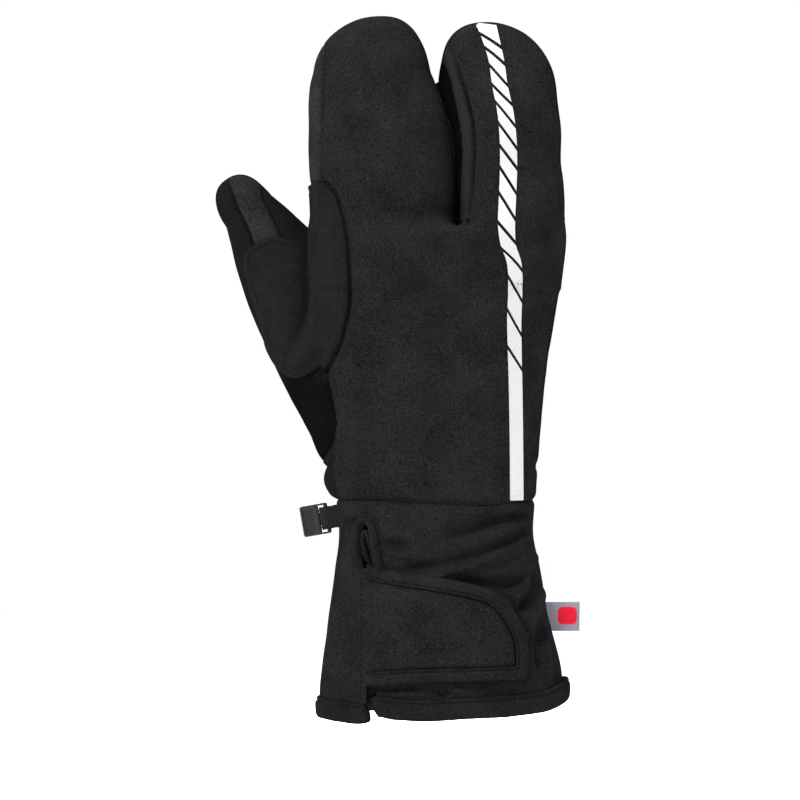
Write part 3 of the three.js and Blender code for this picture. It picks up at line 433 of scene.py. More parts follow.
def on_ring_side(x, y, z):
    """Above zero on the ring lobe's side of the valley between the two lobes."""
    index = lobe_distance(x, y, z, INDEX_LOBE, INDEX_TIP)
    ring = lobe_distance(x, y, z, RING_LOBE, RING_TIP)
    return np.minimum(index - ring, z - FORK_FOOT)


def in_thumb_front(x, y, z):
    return np.minimum(inside_depth(x, z, thumb_front_outline), THUMB_FACE_BACK - y)


seam_values = {
    "crease": in_crease,
    "wrist": above_wrist,
    "gather": lambda x, y, z: z - GATHER_TOP,
    "left": left_of(LEFT_SEAM),
    "valley": on_ring_side,
    "ring_fork": left_of(RING_FORK_SEAM),
    "strip_edge": left_of(FORK_STRIP_EDGE),
    "side": behind_side_seam,
    "wall_back": lambda x, y, z: behind_side_seam(x, y, z) - SIDE_WALL_DEPTH,
    "gusset_back": lambda x, y, z: y - GUSSET_PALM_Y,
    "thumb_front": in_thumb_front,
}
for value_of in seam_values.values():
    body_points, body_triangles = slice_mesh(body_points, body_triangles, value_of)
print("sliced body:", len(body_triangles), "triangles")

# %% [markdown]
# Every triangle now lies on one side of each seam. The middle of a triangle says which sides those
# are, and so which panel of the glove it belongs to.

# %% Name the panel of each triangle
PANELS = (
    "back_panel", "palm_panel", "index_side_wall", "finger_gusset", "wrist_gather", "thumb_shell",
    "thumb_front_panel", "waste",
)


def panel_of(points):
    x, y, z = points.T
    value = {name: value_of(x, y, z) for name, value_of in seam_values.items()}
    flank = (value["valley"] > 0) & (value["ring_fork"] < 0)
    back = (value["left"] > 0) & (value["side"] < 0) & ~flank
    wall = (value["left"] < 0) & (z > SIDE_WALL_FOOT) & (value["wall_back"] < 0)
    gusset = flank & (value["strip_edge"] > 0) & (y < GUSSET_PALM_Y)
    named = np.full(len(points), PANELS.index("palm_panel"))
    named[z < GATHER_TOP] = PANELS.index("wrist_gather")
    named[gusset] = PANELS.index("finger_gusset")
    named[wall] = PANELS.index("index_side_wall")
    named[back] = PANELS.index("back_panel")
    on_thumb = (value["crease"] > 0) & (z > GATHER_TOP)
    named[on_thumb] = PANELS.index("thumb_shell")
    named[on_thumb & (value["thumb_front"] > 0)] = PANELS.index("thumb_front_panel")
    named[value["wrist"] < 0] = PANELS.index("waste")
    return named


triangle_panel = panel_of(body_points[body_triangles].mean(axis=1))
for i, name in enumerate(PANELS):
    print(name, int((triangle_panel == i).sum()))

# %% [markdown]
# A sewn seam pulls the padding down, so the cloth dips at the stitch line and rolls up on both
# sides. Every seam here is an edge between two named panels. The distance to the nearest one
# gives the dip. A table says how hard each kind of seam pulls.

# %% Find the seams and how far each point is from one
SEAM_PULL = {
    ("back_panel", "index_side_wall"): {"dip": 1.6, "roll": 0.6},
    ("back_panel", "finger_gusset"): {"dip": 2.1, "roll": 0.5},
    ("back_panel", "palm_panel"): {"dip": 1.0, "roll": 0.7},
    ("back_panel", "wrist_gather"): {"dip": 1.2, "roll": 0.6},
    ("palm_panel", "wrist_gather"): {"dip": 0.8, "roll": 0.8},
    ("thumb_shell", "thumb_front_panel"): {"dip": 1.2, "roll": 0.6},
    ("palm_panel", "thumb_shell"): {"dip": 1.2, "roll": 0.3},
    ("back_panel", "waste"): {"dip": 0.9, "roll": 0.5},
    ("wrist_gather", "waste"): {"dip": 0.9, "roll": 0.5},
}
USUAL_PULL = {"dip": 0.7, "roll": 0.4}
DIP_REACH = 0.85
ROLL_REACH = 3.4

# The groove in the cloth just outside the palm patch, where the patch is sewn down.
PATCH_GROOVE = 1.5
GROOVE_OUTSIDE = 0.5


def seam_edges(triangles, labels):
    """The edges whose two triangles belong to different panels, and those two panels."""
    edges = np.concatenate([np.sort(triangles[:, (i, (i + 1) % 3)], axis=1) for i in range(3)])
    owner = np.tile(labels, 3)
    order = np.lexsort((edges[:, 1], edges[:, 0]))
    edges, owner = edges[order], owner[order]
    same = (edges[1:] == edges[:-1]).all(axis=1) & (owner[1:] != owner[:-1])
    return edges[1:][same], np.stack([owner[:-1][same], owner[1:][same]], axis=1)


seam_pairs, seam_owners = seam_edges(body_triangles, triangle_panel)
pull_of = {}
for (a, b), owners in zip(seam_pairs, seam_owners):
    names = tuple(sorted(PANELS[i] for i in owners))
    pull_of[a] = pull_of[b] = SEAM_PULL.get(names, SEAM_PULL.get(names[::-1], USUAL_PULL))
seam_points = np.array(sorted(pull_of))
seam_tree = KDTree(len(seam_points))
for i, index in enumerate(seam_points):
    seam_tree.insert(body_points[index], i)
seam_tree.balance()
nearest_seam = [seam_tree.find(point)[1:] for point in body_points]
seam_away = np.array([away for _, away in nearest_seam])
seam_dip = np.array([pull_of[seam_points[i]]["dip"] for i, _ in nearest_seam])
seam_roll = np.array([pull_of[seam_points[i]]["roll"] for i, _ in nearest_seam])
print("seam points:", len(seam_points))

# %% [markdown]
# Cloth over a hand is never quite smooth. Folds and dents are drawn as lines with a depth and a
# width; a depth below zero is a ridge. Slow noise adds the unevenness of the padding, and it is
# always the same noise, so every run of this notebook makes the same glove.

# %% Dents, creases and slow unevenness of the hand
HAND_CREASES = (
    {"line": ((33, 196), (40, 192), (46.5, 190)), "depth": 1.5, "width": 5},
    {"line": ((33, 186), (40, 184), (47, 183)), "depth": -0.6, "width": 4},
    {"line": ((-3, 204), (-8, 201), (-14, 200.5)), "depth": 0.9, "width": 3.4},
    {"line": ((5, 197), (0, 193.5), (-5, 189)), "depth": 0.6, "width": 1.9},
    {"line": ((8.4, 195.5), (6.5, 190.5), (5.5, 185)), "depth": -0.5, "width": 2},
    {"line": ((9.5, 196), (12, 190), (14, 185)), "depth": 0.6, "width": 1.7},
    {"line": ((12, 199), (17, 198.5), (24, 199.5)), "depth": 0.5, "width": 1.6},
    {"line": ((-40, 222), (-32, 221.5), (-22, 223)), "depth": 0.35, "width": 5},
    {"line": ((-46, 249), (-40, 250), (-32, 248)), "depth": 0.35, "width": 4},
    {"line": ((-36, 122), (-20, 118), (0, 121)), "depth": 0.4, "width": 6},
    {"line": ((-62, 181), (-64, 172), (-60, 161)), "depth": -0.7, "width": 4},
    {"line": ((-57, 160), (-62, 151), (-60, 143)), "depth": 0.8, "width": 3},
    {"line": ((46, 243), (44.7, 227), (46.6, 216.5), (47.3, 204)), "depth": 0.9, "width": 1.1},
)
PUCKER = {"at": (49, 1, 228), "depth": 1.9, "reach": 6.5}
GATHER = {"ribs": 27, "depth": 0.8, "swell": 3.4}


def crease_relief(x, z, rows):
    relief = np.zeros(np.shape(x))
    for row in rows:
        away, share = line_distance(x, z, row["line"])
        fade = smoothstep(-0.25, 0.3, share) * smoothstep(-0.25, 0.3, 1 - share)
        relief -= row["depth"] * fade * bell(away, row["width"])
    return relief


def slow_noise(points, size, seed):
    shift = Vector((seed * 17.3, seed * 5.1, seed * 9.7))
    return np.array([noise.noise(Vector(p) / size + shift) for p in points])


def gather_relief(points):
    x, y, z = points.T
    angle = np.arctan2(y, x + 2.5)
    near_thumb = ((1 - np.cos(angle)) / 2) ** 4
    swell = GATHER["swell"] * near_thumb * smoothstep(86, 98, z) * (1 - smoothstep(104, 115, z))
    rib = np.cos(GATHER["ribs"] * angle + 1.6 * slow_noise(points, 9, 3))
    out_of_sight = 1 - 0.8 * smoothstep(20, 36, x)
    ribs = out_of_sight * GATHER["depth"] * rib
    return swell, ribs * smoothstep(WRIST_Z, 92, z) * (1 - smoothstep(99, 103.5, z))


body_normals = field_normals(body_distance, body_points)
x, y, z = body_points.T
on_back = smoothstep(4, -6, y - column(SIDE_SEAM, "y", z))
seam_fade = 1 - 0.75 * smoothstep(255, 276, z)
in_valley = smoothstep(5, 2, np.abs(on_ring_side(x, y, z))) * (z > FORK_FOOT + 2)
seam_fade *= 1 - in_valley
relief = -seam_fade * seam_dip * bell(seam_away, DIP_REACH)
relief -= seam_fade * seam_roll * bell(seam_away, ROLL_REACH)
relief += crease_relief(x, z, HAND_CREASES) * on_back
beside_patch = inside_depth(x, z, palm_patch_outline) + GROOVE_OUTSIDE
relief -= PATCH_GROOVE * bell(beside_patch, DIP_REACH) * on_back
relief += 0.45 * slow_noise(body_points, 22, 1) + 0.16 * slow_noise(body_points, 8, 2)
pucker_away = np.linalg.norm(body_points - PUCKER["at"], axis=1)
relief -= PUCKER["depth"] * bell(pucker_away, PUCKER["reach"])
gather_swell, gather_ribs = gather_relief(body_points)
gather_share = np.zeros(len(body_points))
gather_share[body_triangles[triangle_panel == PANELS.index("wrist_gather")].ravel()] = 1
relief += gather_swell * (z < 116) + gather_ribs * gather_share
cloth_points = body_points + body_normals * relief[:, None]
print("relief from", round(float(relief.min()), 2), "to", round(float(relief.max()), 2), "mm")

# %% [markdown]
# Each panel becomes a real slab of padded cloth: the outer face, an inner face a few millimetres
# behind it, and a rim that joins them. Solid pieces light correctly and can be reused.

# %% Build closed pieces
def face_normals(points, triangles):
    """One vector per triangle, square to it and as long as twice its area."""
    a, b, c = (points[triangles[:, i]] for i in range(3))
    return np.cross(b - a, c - a)


def vertex_normals(points, triangles):
    faces = face_normals(points, triangles)
    normals = np.zeros_like(points)
    for i in range(3):
        for axis in range(3):
            normals[:, axis] += np.bincount(triangles[:, i], faces[:, axis], len(points))
    return normals / np.maximum(np.linalg.norm(normals, axis=1, keepdims=True), 1e-9)


def open_edges(triangles):
    """Edges used by one triangle only, in that triangle's own direction."""
    edges = np.concatenate([triangles[:, (i, (i + 1) % 3)] for i in range(3)])
    keys = np.sort(edges, axis=1)
    _, first, counts = np.unique(keys, axis=0, return_index=True, return_counts=True)
    return edges[first[counts == 1]]


def compact(points, triangles):
    used, fresh = np.unique(triangles, return_inverse=True)
    return points[used], fresh.reshape(triangles.shape), used


def slab(outer, inner, triangles):
    """Closes two matching faces with a rim."""
    count = len(outer)
    rim = open_edges(triangles)
    a, b = rim[:, 0], rim[:, 1]
    walls = [np.stack([b, a, a + count], axis=1), np.stack([b, a + count, b + count], axis=1)]
    cells = np.concatenate([triangles, triangles[:, ::-1] + count, *walls])
    return np.concatenate([outer, inner]), cells


made_pieces = {}


def add_piece(name, points, triangles, slot=None, stands_for=(), sharp=50):
    """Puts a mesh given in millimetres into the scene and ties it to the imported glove."""
    mesh = bpy.data.meshes.new(name)
    mesh.from_pydata((np.asarray(points) * MM).tolist(), [], np.asarray(triangles).tolist())
    mesh.validate()
    mesh.shade_smooth()
    mesh.set_sharp_from_angle(angle=math.radians(sharp))
    piece = bpy.data.objects.new(name, mesh)
    bpy.context.scene.collection.objects.link(piece)
    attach(piece, "root")
    if stands_for:
        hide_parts(*stands_for)
    made_pieces[name] = piece
    return piece


PANEL_SLOTS = {
    "back_panel": {"piece": "padded_back", "slot": "softshell", "wall": 3.2, "fill": 0.5},
    "palm_panel": {"piece": "padded_palm", "slot": "smooth_cloth", "wall": 3.2, "fill": 0.5},
    "index_side_wall": {"piece": "side_strip", "slot": "softshell", "wall": 2.8, "fill": 0.5},
    "finger_gusset": {"piece": "fork_strip", "slot": "smooth_cloth", "wall": 2.4, "fill": 0.4},
    "wrist_gather": {"piece": "elastic_gather", "slot": "smooth_cloth", "wall": 2.4, "fill": 0.4},
    "thumb_shell": {"piece": "thumb_sides", "slot": "smooth_cloth", "wall": 2.8, "fill": 0.5},
    "thumb_front_panel": {"piece": "thumb_front", "slot": "softshell", "wall": 2.8, "fill": 0.5},
}
cloth_normals = vertex_normals(cloth_points, body_triangles)
for node, row in PANEL_SLOTS.items():
    own = body_triangles[triangle_panel == PANELS.index(node)]
    outer, triangles, used = compact(cloth_points, own)
    inner = outer - (0.5 * cloth_normals[used] + 0.5 * body_normals[used]) * row["wall"]
    piece = add_piece(row["piece"], *slab(outer, inner, triangles), row["slot"], [node])
    print(row["piece"], len(own), "triangles on the face")

# %% [markdown]
# The cuff is one wall of cloth that flares towards the forearm. Pulling the tab tight throws it
# into long diagonal folds: each fold is drawn as a line with a valley and a ridge beside it. The
# wall is a fine grid wrapped round the same sections as the hand, and the slit is sliced out of it.

# %% Tables of the cuff
CUFF_FOLDS = (
    {
        "line": ((35.9, 83), (26.7, 82.3), (19, 80.5), (11.3, 77.6), (2.2, 75.2)),
        "depth": 4.2, "width": 2.5,
    },
    {"line": ((38, 84), (33, 83.8), (26.7, 83.2)), "depth": 1, "width": 0.9},
    {
        "line": ((36, 77), (29.1, 73.4), (22.8, 71.3), (15.1, 68.4), (7.5, 65.6)),
        "depth": 3.25, "width": 2.3,
    },
    {"line": ((7.5, 65.6), (-3.9, 63.4), (-11.5, 62.2), (-19.1, 62.2)), "depth": 2.75, "width": 2.2},
    {
        "line": ((37, 76), (30.6, 71.2), (22.8, 67.6), (15.1, 64.4), (7.5, 62), (-3.2, 59)),
        "depth": -2.38, "width": 1.6,
    },
    {
        "line": ((36.5, 60), (31.3, 57.6), (25.1, 55.8), (17.4, 55.9), (9.7, 57.5), (2.1, 58.8)),
        "depth": 3.75, "width": 2.4,
    },
    {
        "line": ((37.5, 66.3), (36.6, 62.6), (34.5, 58.2), (32.1, 52.3), (28.1, 48.7)),
        "depth": -2.25, "width": 1.4,
    },
    {"line": ((39, 63), (38, 55.7), (35, 50), (29.5, 45.6)), "depth": 4.4, "width": 2},
    {"line": ((41, 54), (37.8, 44.4), (34.9, 37.8), (33.1, 34.2)), "depth": -2.12, "width": 1.2},
    {
        "line": ((42.6, 43.7), (40.4, 38.8), (38.2, 32.3), (37.8, 24.8), (38.1, 18.1)),
        "depth": 3, "width": 2,
    },
    {"line": ((41.8, 38), (41.7, 30.5), (42, 23.7), (42.3, 16.2)), "depth": -1.75, "width": 1.1},
    {
        "line": (
            (22, 53.8), (26.5, 50.2), (30.2, 44.8), (32.6, 40), (34.6, 35.2), (35.3, 30.5), (35.5, 25),
            (34.8, 20.4), (32, 17.4),
        ),
        "depth": 1.9, "width": 0.8,
    },
    {"line": ((44.6, 31.4), (45.7, 23.7), (46.5, 16)), "depth": 1.5, "width": 1.4},
    {"line": ((-24.4, 72.3), (-19.1, 71.8), (-13.8, 71.1)), "depth": 2.88, "width": 2.1},
    {"line": ((-23.7, 75.4), (-17.6, 75.2), (-11.5, 74)), "depth": -1, "width": 1.7},
    {"line": ((-24, 67.5), (-19, 65.6), (-13, 65)), "depth": 1.38, "width": 1.9},
    {"line": ((-40.3, 79.3), (-37.5, 80.2), (-34.8, 81.1)), "depth": 1.88, "width": 1.3},
    {"line": ((-37, 74), (-37.5, 66), (-38, 58)), "depth": -1, "width": 2.4},
    {"line": ((-32.4, 64), (-32.4, 10)), "depth": 0.8, "width": 0.8},
    {"line": ((-28.2, 14.9), (-19.1, 15), (-8.5, 14.8)), "depth": 1.5, "width": 1.3},
    {"line": ((-19.1, 13.2), (-14.5, 13.9), (-8.5, 13.6)), "depth": -1.5, "width": 1.3},
    {"line": ((-4, 13.6), (-0.6, 13), (2.8, 13.8)), "depth": 1.75, "width": 1.2},
    {"line": ((2.8, 14.2), (5.9, 14.4), (9.6, 13.9)), "depth": -1.25, "width": 1.4},
    {"line": ((-44, 20), (-38, 17), (-33, 16)), "depth": -1, "width": 3.5},
    {
        "line": ((-41.3, 74), (-41.8, 60), (-43.4, 51), (-44.9, 38.6), (-46.2, 28), (-47, 17)),
        "depth": 1.25, "width": 0.8,
    },
    {
        "line": ((-40, 74), (-40.5, 60), (-42, 51), (-43.5, 38.6), (-44.8, 28), (-45.6, 17)),
        "depth": -0.75, "width": 1.1,
    },
)
HEM_BACK = {
    "x": (-50, -42, -30.5, -27, -19, -11, 4, 19.5, 35, 42.7, 50.6),
    "z": (5.8, 5.3, 5.6, 7.6, 6.9, 6.5, 7.1, 7.8, 8.7, 9.9, 13.4),
}
HEM_HALF = 4.3
HEM_THICK = 2.1
HEM_OUTSET = -0.6
HEM_ENDS = (-27.9, -29.8)
HEM_STITCH = 2.7
HEM_PALM = 5.6
HEM_CURL = 7.8
HEM_OVERLAP = 3.2
SLIT_LEFT = -30.0
SLIT_RIGHT = -26.6
SLIT_BACK = -10
KEYHOLE = ((-32.6, 63), (-34.2, 70), (-33.4, 77.4), (-31, 80), (-28.8, 77.4), (-27, 71), (-25.2, 63.5))
OUTER_ROLL = (
    (-31.9, 62), (-33.4, 66), (-34.4, 70), (-34.4, 74.8), (-33.3, 79.4), (-31.2, 81.6), (-29.1, 80),
    (-28, 76), (-27, 70), (-25.8, 64), (-25.2, 60.5),
)
INNER_ROLL = (
    (-28.2, 62.5), (-30.6, 66.8), (-31.9, 71.5), (-31.7, 75.3), (-30.9, 77), (-29.9, 75), (-28.6, 70),
    (-27, 63.5),
)
CUFF_WALL = 2.5
CUFF_SIDES = 400
CUFF_ROWS = 84


def sleeve_point(angle, z, outset):
    left, right, back, palm = (column(SLEEVE, key, z) for key in ("left", "right", "back", "palm"))
    bend = 2 / column(SLEEVE, "power", z)
    c, s = np.cos(angle), np.sin(angle)
    x = (left + right) / 2 + ((right - left) / 2 + outset) * np.sign(c) * np.abs(c) ** bend
    y = (back + palm) / 2 + ((palm - back) / 2 + outset) * np.sign(s) * np.abs(s) ** bend
    return np.stack([x, y, z + 0 * x], axis=-1)


def cuff_face_y(x, z, outset=0.0):
    """The back face of the cuff without its folds."""
    left, right, back, palm = (column(SLEEVE, key, z) for key in ("left", "right", "back", "palm"))
    power = column(SLEEVE, "power", z)
    share = np.minimum(np.abs(x - (left + right) / 2) / ((right - left) / 2 + outset), 1)
    return (back + palm) / 2 - ((palm - back) / 2 + outset) * (1 - share**power) ** (1 / power)


def hem_centre(angle):
    x = sleeve_point(angle, 0 * angle, HEM_OUTSET)[..., 0]
    seen = column(HEM_BACK, "z", x, "x")
    unseen = HEM_PALM + HEM_CURL * ((1 + np.cos(angle)) / 2) ** 8
    return np.where(np.sin(angle) < 0, seen, unseen)


def smooth_line(corners, count):
    """An open Catmull-Rom curve through points, as evenly spaced points."""
    corners = np.asarray(corners, float)
    padded = np.concatenate([2 * corners[:1] - corners[1:2], corners, 2 * corners[-1:] - corners[-2:-1]])
    t = np.linspace(0, 1, 12, endpoint=False)[:, None]
    parts = []
    for a, b, c, d in zip(padded, padded[1:], padded[2:], padded[3:]):
        parts.append(curve_between(a, b, c, d, t))
    line = np.concatenate([*parts, corners[-1:]])
    run = np.concatenate([[0], np.cumsum(np.linalg.norm(np.diff(line, axis=0), axis=1))])
    at = np.linspace(0, run[-1], count)
    return np.stack([np.interp(at, run, line[:, i]) for i in range(line.shape[1])], axis=1)


def grid_triangles(rows, columns, closed=False):
    i, j = np.meshgrid(np.arange(rows - 1), np.arange(columns if closed else columns - 1), indexing="ij")
    a = (i * columns + j).ravel()
    b = (i * columns + (j + 1) % columns).ravel()
    first = np.stack([a, b, b + columns], axis=1)
    second = np.stack([a, b + columns, a + columns], axis=1)
    return np.concatenate([first, second])


print("folds on the cuff:", len(CUFF_FOLDS))

# %% [markdown]
# The slit lets the hand in. It is cut out of the finished wall as one outline, straight below and
# round at its top, in the same way as the seams of the hand. The folds come after the cut, so that
# the slit's edges move with the cloth.

# %% Build the cuff's wall and cut the slit
keyhole_line = smooth_line(KEYHOLE, 60)
slit_outline = np.concatenate([
    [(SLIT_LEFT, -20)], [(SLIT_LEFT, 60)], keyhole_line, [(SLIT_RIGHT, 60)], [(SLIT_RIGHT, -20)],
])
angles = np.linspace(0, 2 * math.pi, CUFF_SIDES, endpoint=False)
heights = np.linspace(0, 1, CUFF_ROWS)[:, None]
foot = hem_centre(angles) + HEM_OVERLAP
rim_x = sleeve_point(angles, WRIST_Z + 0 * angles, 0)[:, 0]
cuff_z = foot + (column(WRIST_LINE, "z", rim_x, "x") - 0.1 - foot) * heights
cuff_flat = sleeve_point(angles[None, :] + 0 * cuff_z, cuff_z, 0.0).reshape(-1, 3)
cuff_flat, cuff_triangles = slice_mesh(
    cuff_flat,
    grid_triangles(CUFF_ROWS, CUFF_SIDES, closed=True),
    lambda x, y, z: np.where(y < SLIT_BACK, inside_depth(x, z, slit_outline), -5),
    snap=0.1,
)
middle = cuff_flat[cuff_triangles].mean(axis=1)
in_slit = (middle[:, 1] < SLIT_BACK) & (inside_depth(middle[:, 0], middle[:, 2], slit_outline) > 0)
cuff_flat, cuff_triangles, _ = compact(cuff_flat, cuff_triangles[~in_slit])
first = cuff_flat[cuff_triangles[0]]
facing = np.cross(*np.diff(first, axis=0))
if facing[:2] @ first[:, :2].mean(axis=0) < 0:
    cuff_triangles = cuff_triangles[:, ::-1]


def cuff_relief(points):
    x, y, z = points.T
    relief = crease_relief(x, z, CUFF_FOLDS) * smoothstep(0, -8, y)
    below_wrist = column(WRIST_LINE, "z", x, "x") - z
    relief -= 0.9 * bell(below_wrist, 0.9) + 0.35 * bell(below_wrist, 3.5)
    side_away = np.where(x > 0, y - column(SIDE_SEAM, "y", z), 9)
    relief -= 0.8 * bell(side_away, 0.9) + 0.4 * bell(side_away, 3)
    relief += 0.5 * slow_noise(points, 24, 5) + 0.14 * slow_noise(points, 8, 6)
    return relief


cuff_out = vertex_normals(cuff_flat, cuff_triangles)
cuff_points = cuff_flat + cuff_out * cuff_relief(cuff_flat)[:, None]
cuff_in = cuff_points - (0.5 * cuff_out + 0.5 * vertex_normals(cuff_points, cuff_triangles)) * CUFF_WALL
cuff = add_piece("cuff_wall", *slab(cuff_points, cuff_in, cuff_triangles), "softshell", ["cuff_shell"])
print("cuff:", len(cuff_triangles), "triangles on the face")

# %% [markdown]
# The hem is a band of the same cloth rolled over and stitched. It runs nearly all the way round,
# from one side of the slit to the other, and curls up at the little-finger side where the cuff is
# pulled in. It is swept: one rounded section follows the rim, and shrinks to nothing at the ends.

# %% Sweep a section along a path
def sweep(path, across, up, section_at):
    """Rings of a closed section along a path, closed at both ends. All in millimetres."""
    rings = []
    for i, (point, side, high) in enumerate(zip(path, across, up)):
        section = section_at(i / (len(path) - 1))
        rings.append(point + section[:, :1] * side + section[:, 1:] * high)
    count = len(rings[0])
    points = np.concatenate([*rings, path[:1], path[-1:]])
    triangles = grid_triangles(len(path), count, closed=True)
    i = np.arange(count)
    j = (i + 1) % count
    start, end = len(points) - 2, len(points) - 1
    last = (len(path) - 1) * count
    caps = [np.stack([j, i, 0 * i + start], axis=1), np.stack([last + i, last + j, 0 * i + end], axis=1)]
    triangles = np.concatenate([triangles, *caps])
    a, b, c = (points[triangles[:, k]] for k in range(3))
    if np.einsum("ij,ij->i", a, np.cross(b, c)).sum() < 0:
        triangles = triangles[:, ::-1]
    return points, triangles


def oval(half_across, half_up, count, power=2.0):
    angle = np.linspace(0, 2 * math.pi, count, endpoint=False)
    c, s = np.cos(angle), np.sin(angle)
    bend = 2 / power
    across = half_across * np.sign(c) * np.abs(c) ** bend
    upward = half_up * np.sign(s) * np.abs(s) ** bend
    return np.stack([across, upward], axis=1)


def unit(vectors):
    return vectors / np.maximum(np.linalg.norm(vectors, axis=-1, keepdims=True), 1e-9)


def rim_angle(x):
    left, right, power = (float(column(SLEEVE, key, 0.0)) for key in ("left", "right", "power"))
    share = (x - (left + right) / 2) / ((right - left) / 2 + HEM_OUTSET)
    return 2 * math.pi - math.acos(math.copysign(abs(share) ** (power / 2), share))


print("an oval of 16 points:", oval(1, 1, 16).shape)

# %% [markdown]
# The hem's path follows the rim of the cuff. Each ring of the sweep asks for its own section, so the
# same function can draw the wavy thickness, the groove of the stitching and the closed ends.

# %% Roll the hem
HEM_STEPS = 420
hem_angles = np.linspace(rim_angle(HEM_ENDS[0]) - 2 * math.pi, rim_angle(HEM_ENDS[1]), HEM_STEPS)
hem_path = sleeve_point(hem_angles, 0 * hem_angles, HEM_OUTSET)
hem_path[:, 2] = hem_centre(hem_angles)
hem_run = unit(np.gradient(hem_path, axis=0))
hem_across = unit(np.stack([hem_run[:, 1], -hem_run[:, 0], 0 * hem_run[:, 0]], axis=1))
hem_up = unit(np.cross(hem_across, hem_run))
hem_up *= np.sign(hem_up[:, 2:])
hem_length = float(np.linalg.norm(np.diff(hem_path, axis=0), axis=1).sum())


def hem_section(share):
    index = int(round(share * (HEM_STEPS - 1)))
    point = hem_path[index]
    from_end = min(share, 1 - share) * hem_length
    end = math.sqrt(max(1 - max(1 - from_end / 1.5, 0) ** 2, 0.02))
    wave = 0.22 * math.sin(share * hem_length / 3.1) + 0.3 * noise.noise(Vector(point) / 7)
    section = oval(HEM_THICK + wave * 0.6, HEM_HALF + wave * 0.4, 40, 2.8)
    groove = bell(section[:, 1] - HEM_STITCH, 0.5) * (np.abs(section[:, 0]) > 0.6)
    section[:, 0] -= np.sign(section[:, 0]) * groove * 0.7
    return section * (0.35 + 0.65 * end, end)


hem_mesh = sweep(hem_path, hem_across, hem_up, hem_section)
hem = add_piece("rolled_hem", *hem_mesh, "softshell", ["hem_band"])
print("hem path length", round(hem_length), "mm")

# %% [markdown]
# Flat-cut pieces are laid over the glove: patches, the closure tab, its binding and the strip
# beside the slit. Each is a fine flat grid, cut to its outline and then dropped onto the surface.
# A profile gives the height above the cloth by distance from the edge, so the edges roll over.

# %% Lay a cut piece over a surface
def cut_flat(outline_value, low, high, step, levels):
    """A flat grid in X and Z, cut where the value is zero, with extra lines at the given levels."""
    across = np.arange(low[0], high[0] + step, step)
    upward = np.arange(low[1], high[1] + step, step)
    gx, gz = np.meshgrid(across, upward)
    flat = np.stack([gx.ravel(), 0 * gx.ravel(), gz.ravel()], axis=1)
    triangles = grid_triangles(len(upward), len(across))
    for level in (0.0, *levels):
        flat, triangles = slice_mesh(
            flat, triangles, lambda x, y, z: outline_value(x, z) - level, snap=step * 0.12,
        )
    middle = flat[triangles].mean(axis=1)
    flat, triangles, _ = compact(flat, triangles[outline_value(middle[:, 0], middle[:, 2]) > 0])
    return flat, triangles


def edge_roll(depth, radius):
    """0 at the edge, rising like a quarter circle to 1 at a depth of one radius."""
    return np.sqrt(np.maximum(1 - (1 - np.clip(depth / radius, 0, 1)) ** 2, 0))


def lay_on_cuff(flat, triangles, low, high):
    """Drops a flat piece onto the cuff; low and high are its two faces' heights above it."""
    x, z = flat[:, 0], flat[:, 2]
    inner = np.stack([x, cuff_face_y(x, z) - low, z], axis=1)
    outer = np.stack([x, cuff_face_y(x, z) - high, z], axis=1)
    if face_normals(outer, triangles)[:, 1].sum() > 0:
        triangles = triangles[:, ::-1]
    return slab(outer, inner, triangles)


print("height of a rolled edge half way in:", round(float(edge_roll(0.5, 1)), 2))

# %% [markdown]
# The tab pulls the cuff tight. It is one layer of cloth with a folded binding round its edge, and
# the binding is thicker than the tab, so the two are made apart and overlap under the stitches.
# Beside the slit, a narrow strip covers the cut edge of the cuff.

# %% The closure tab, its binding and the strip beside the slit
TAB = (
    (-42, 66.4), (-30.9, 64), (-22.9, 62), (-11.5, 60.3), (-3.9, 59.2), (3.6, 57.9), (11.2, 56.3),
    (18.8, 54), (22.6, 51.6), (25.7, 48.9), (28.8, 44.3), (31.1, 40.1), (33, 35.1), (33.7, 30.6),
    (33.9, 25.4), (33.3, 21), (31.3, 19.1), (26.3, 18.4), (11.1, 18.1), (-4, 17.7), (-19.1, 17),
    (-30.5, 15.9), (-42, 15.2),
)
TAB_LEFT = -30.8
TAB_LIFT = 0.9
TAB_THICK = 2.4
BINDING_WIDTH = 5.3
BINDING_THICK = 2.9
BINDING_STITCH = 4.2
UNDER_BINDING = 1.6
TAB_BOX = ((-33, 12), (36, 66))
STEP = 0.62
tab_outline = rounded(TAB, 6)


def tab_depth(x, z):
    return inside_depth(x, z, tab_outline)


def tab_sway(x, z):
    """The tab is stiff but not flat: it bows up a little and its free end lifts off the cuff."""
    flat = np.stack([x, 0 * x, z], axis=1)
    lift = 1.7 * smoothstep(5, 32, x) + 0.5 * smoothstep(24, 15, z)
    return lift + 0.35 * slow_noise(flat, 20, 8)


flat, triangles = cut_flat(
    lambda x, z: np.minimum(tab_depth(x, z) - BINDING_WIDTH + UNDER_BINDING, x - TAB_LEFT),
    *TAB_BOX, STEP, (UNDER_BINDING,),
)
x, z = flat[:, 0], flat[:, 2]
from_binding = tab_depth(x, z) - BINDING_WIDTH
height = TAB_LIFT + tab_sway(x, z) + TAB_THICK - bell(np.maximum(from_binding, 0), 0.8)
height -= 0.8 * bell(x - TAB_LEFT, 0.8)
tab_mesh = lay_on_cuff(flat, triangles, TAB_LIFT + tab_sway(x, z), height)
tab = add_piece("tab_cloth", *tab_mesh, "softshell", ["closure_tab"])

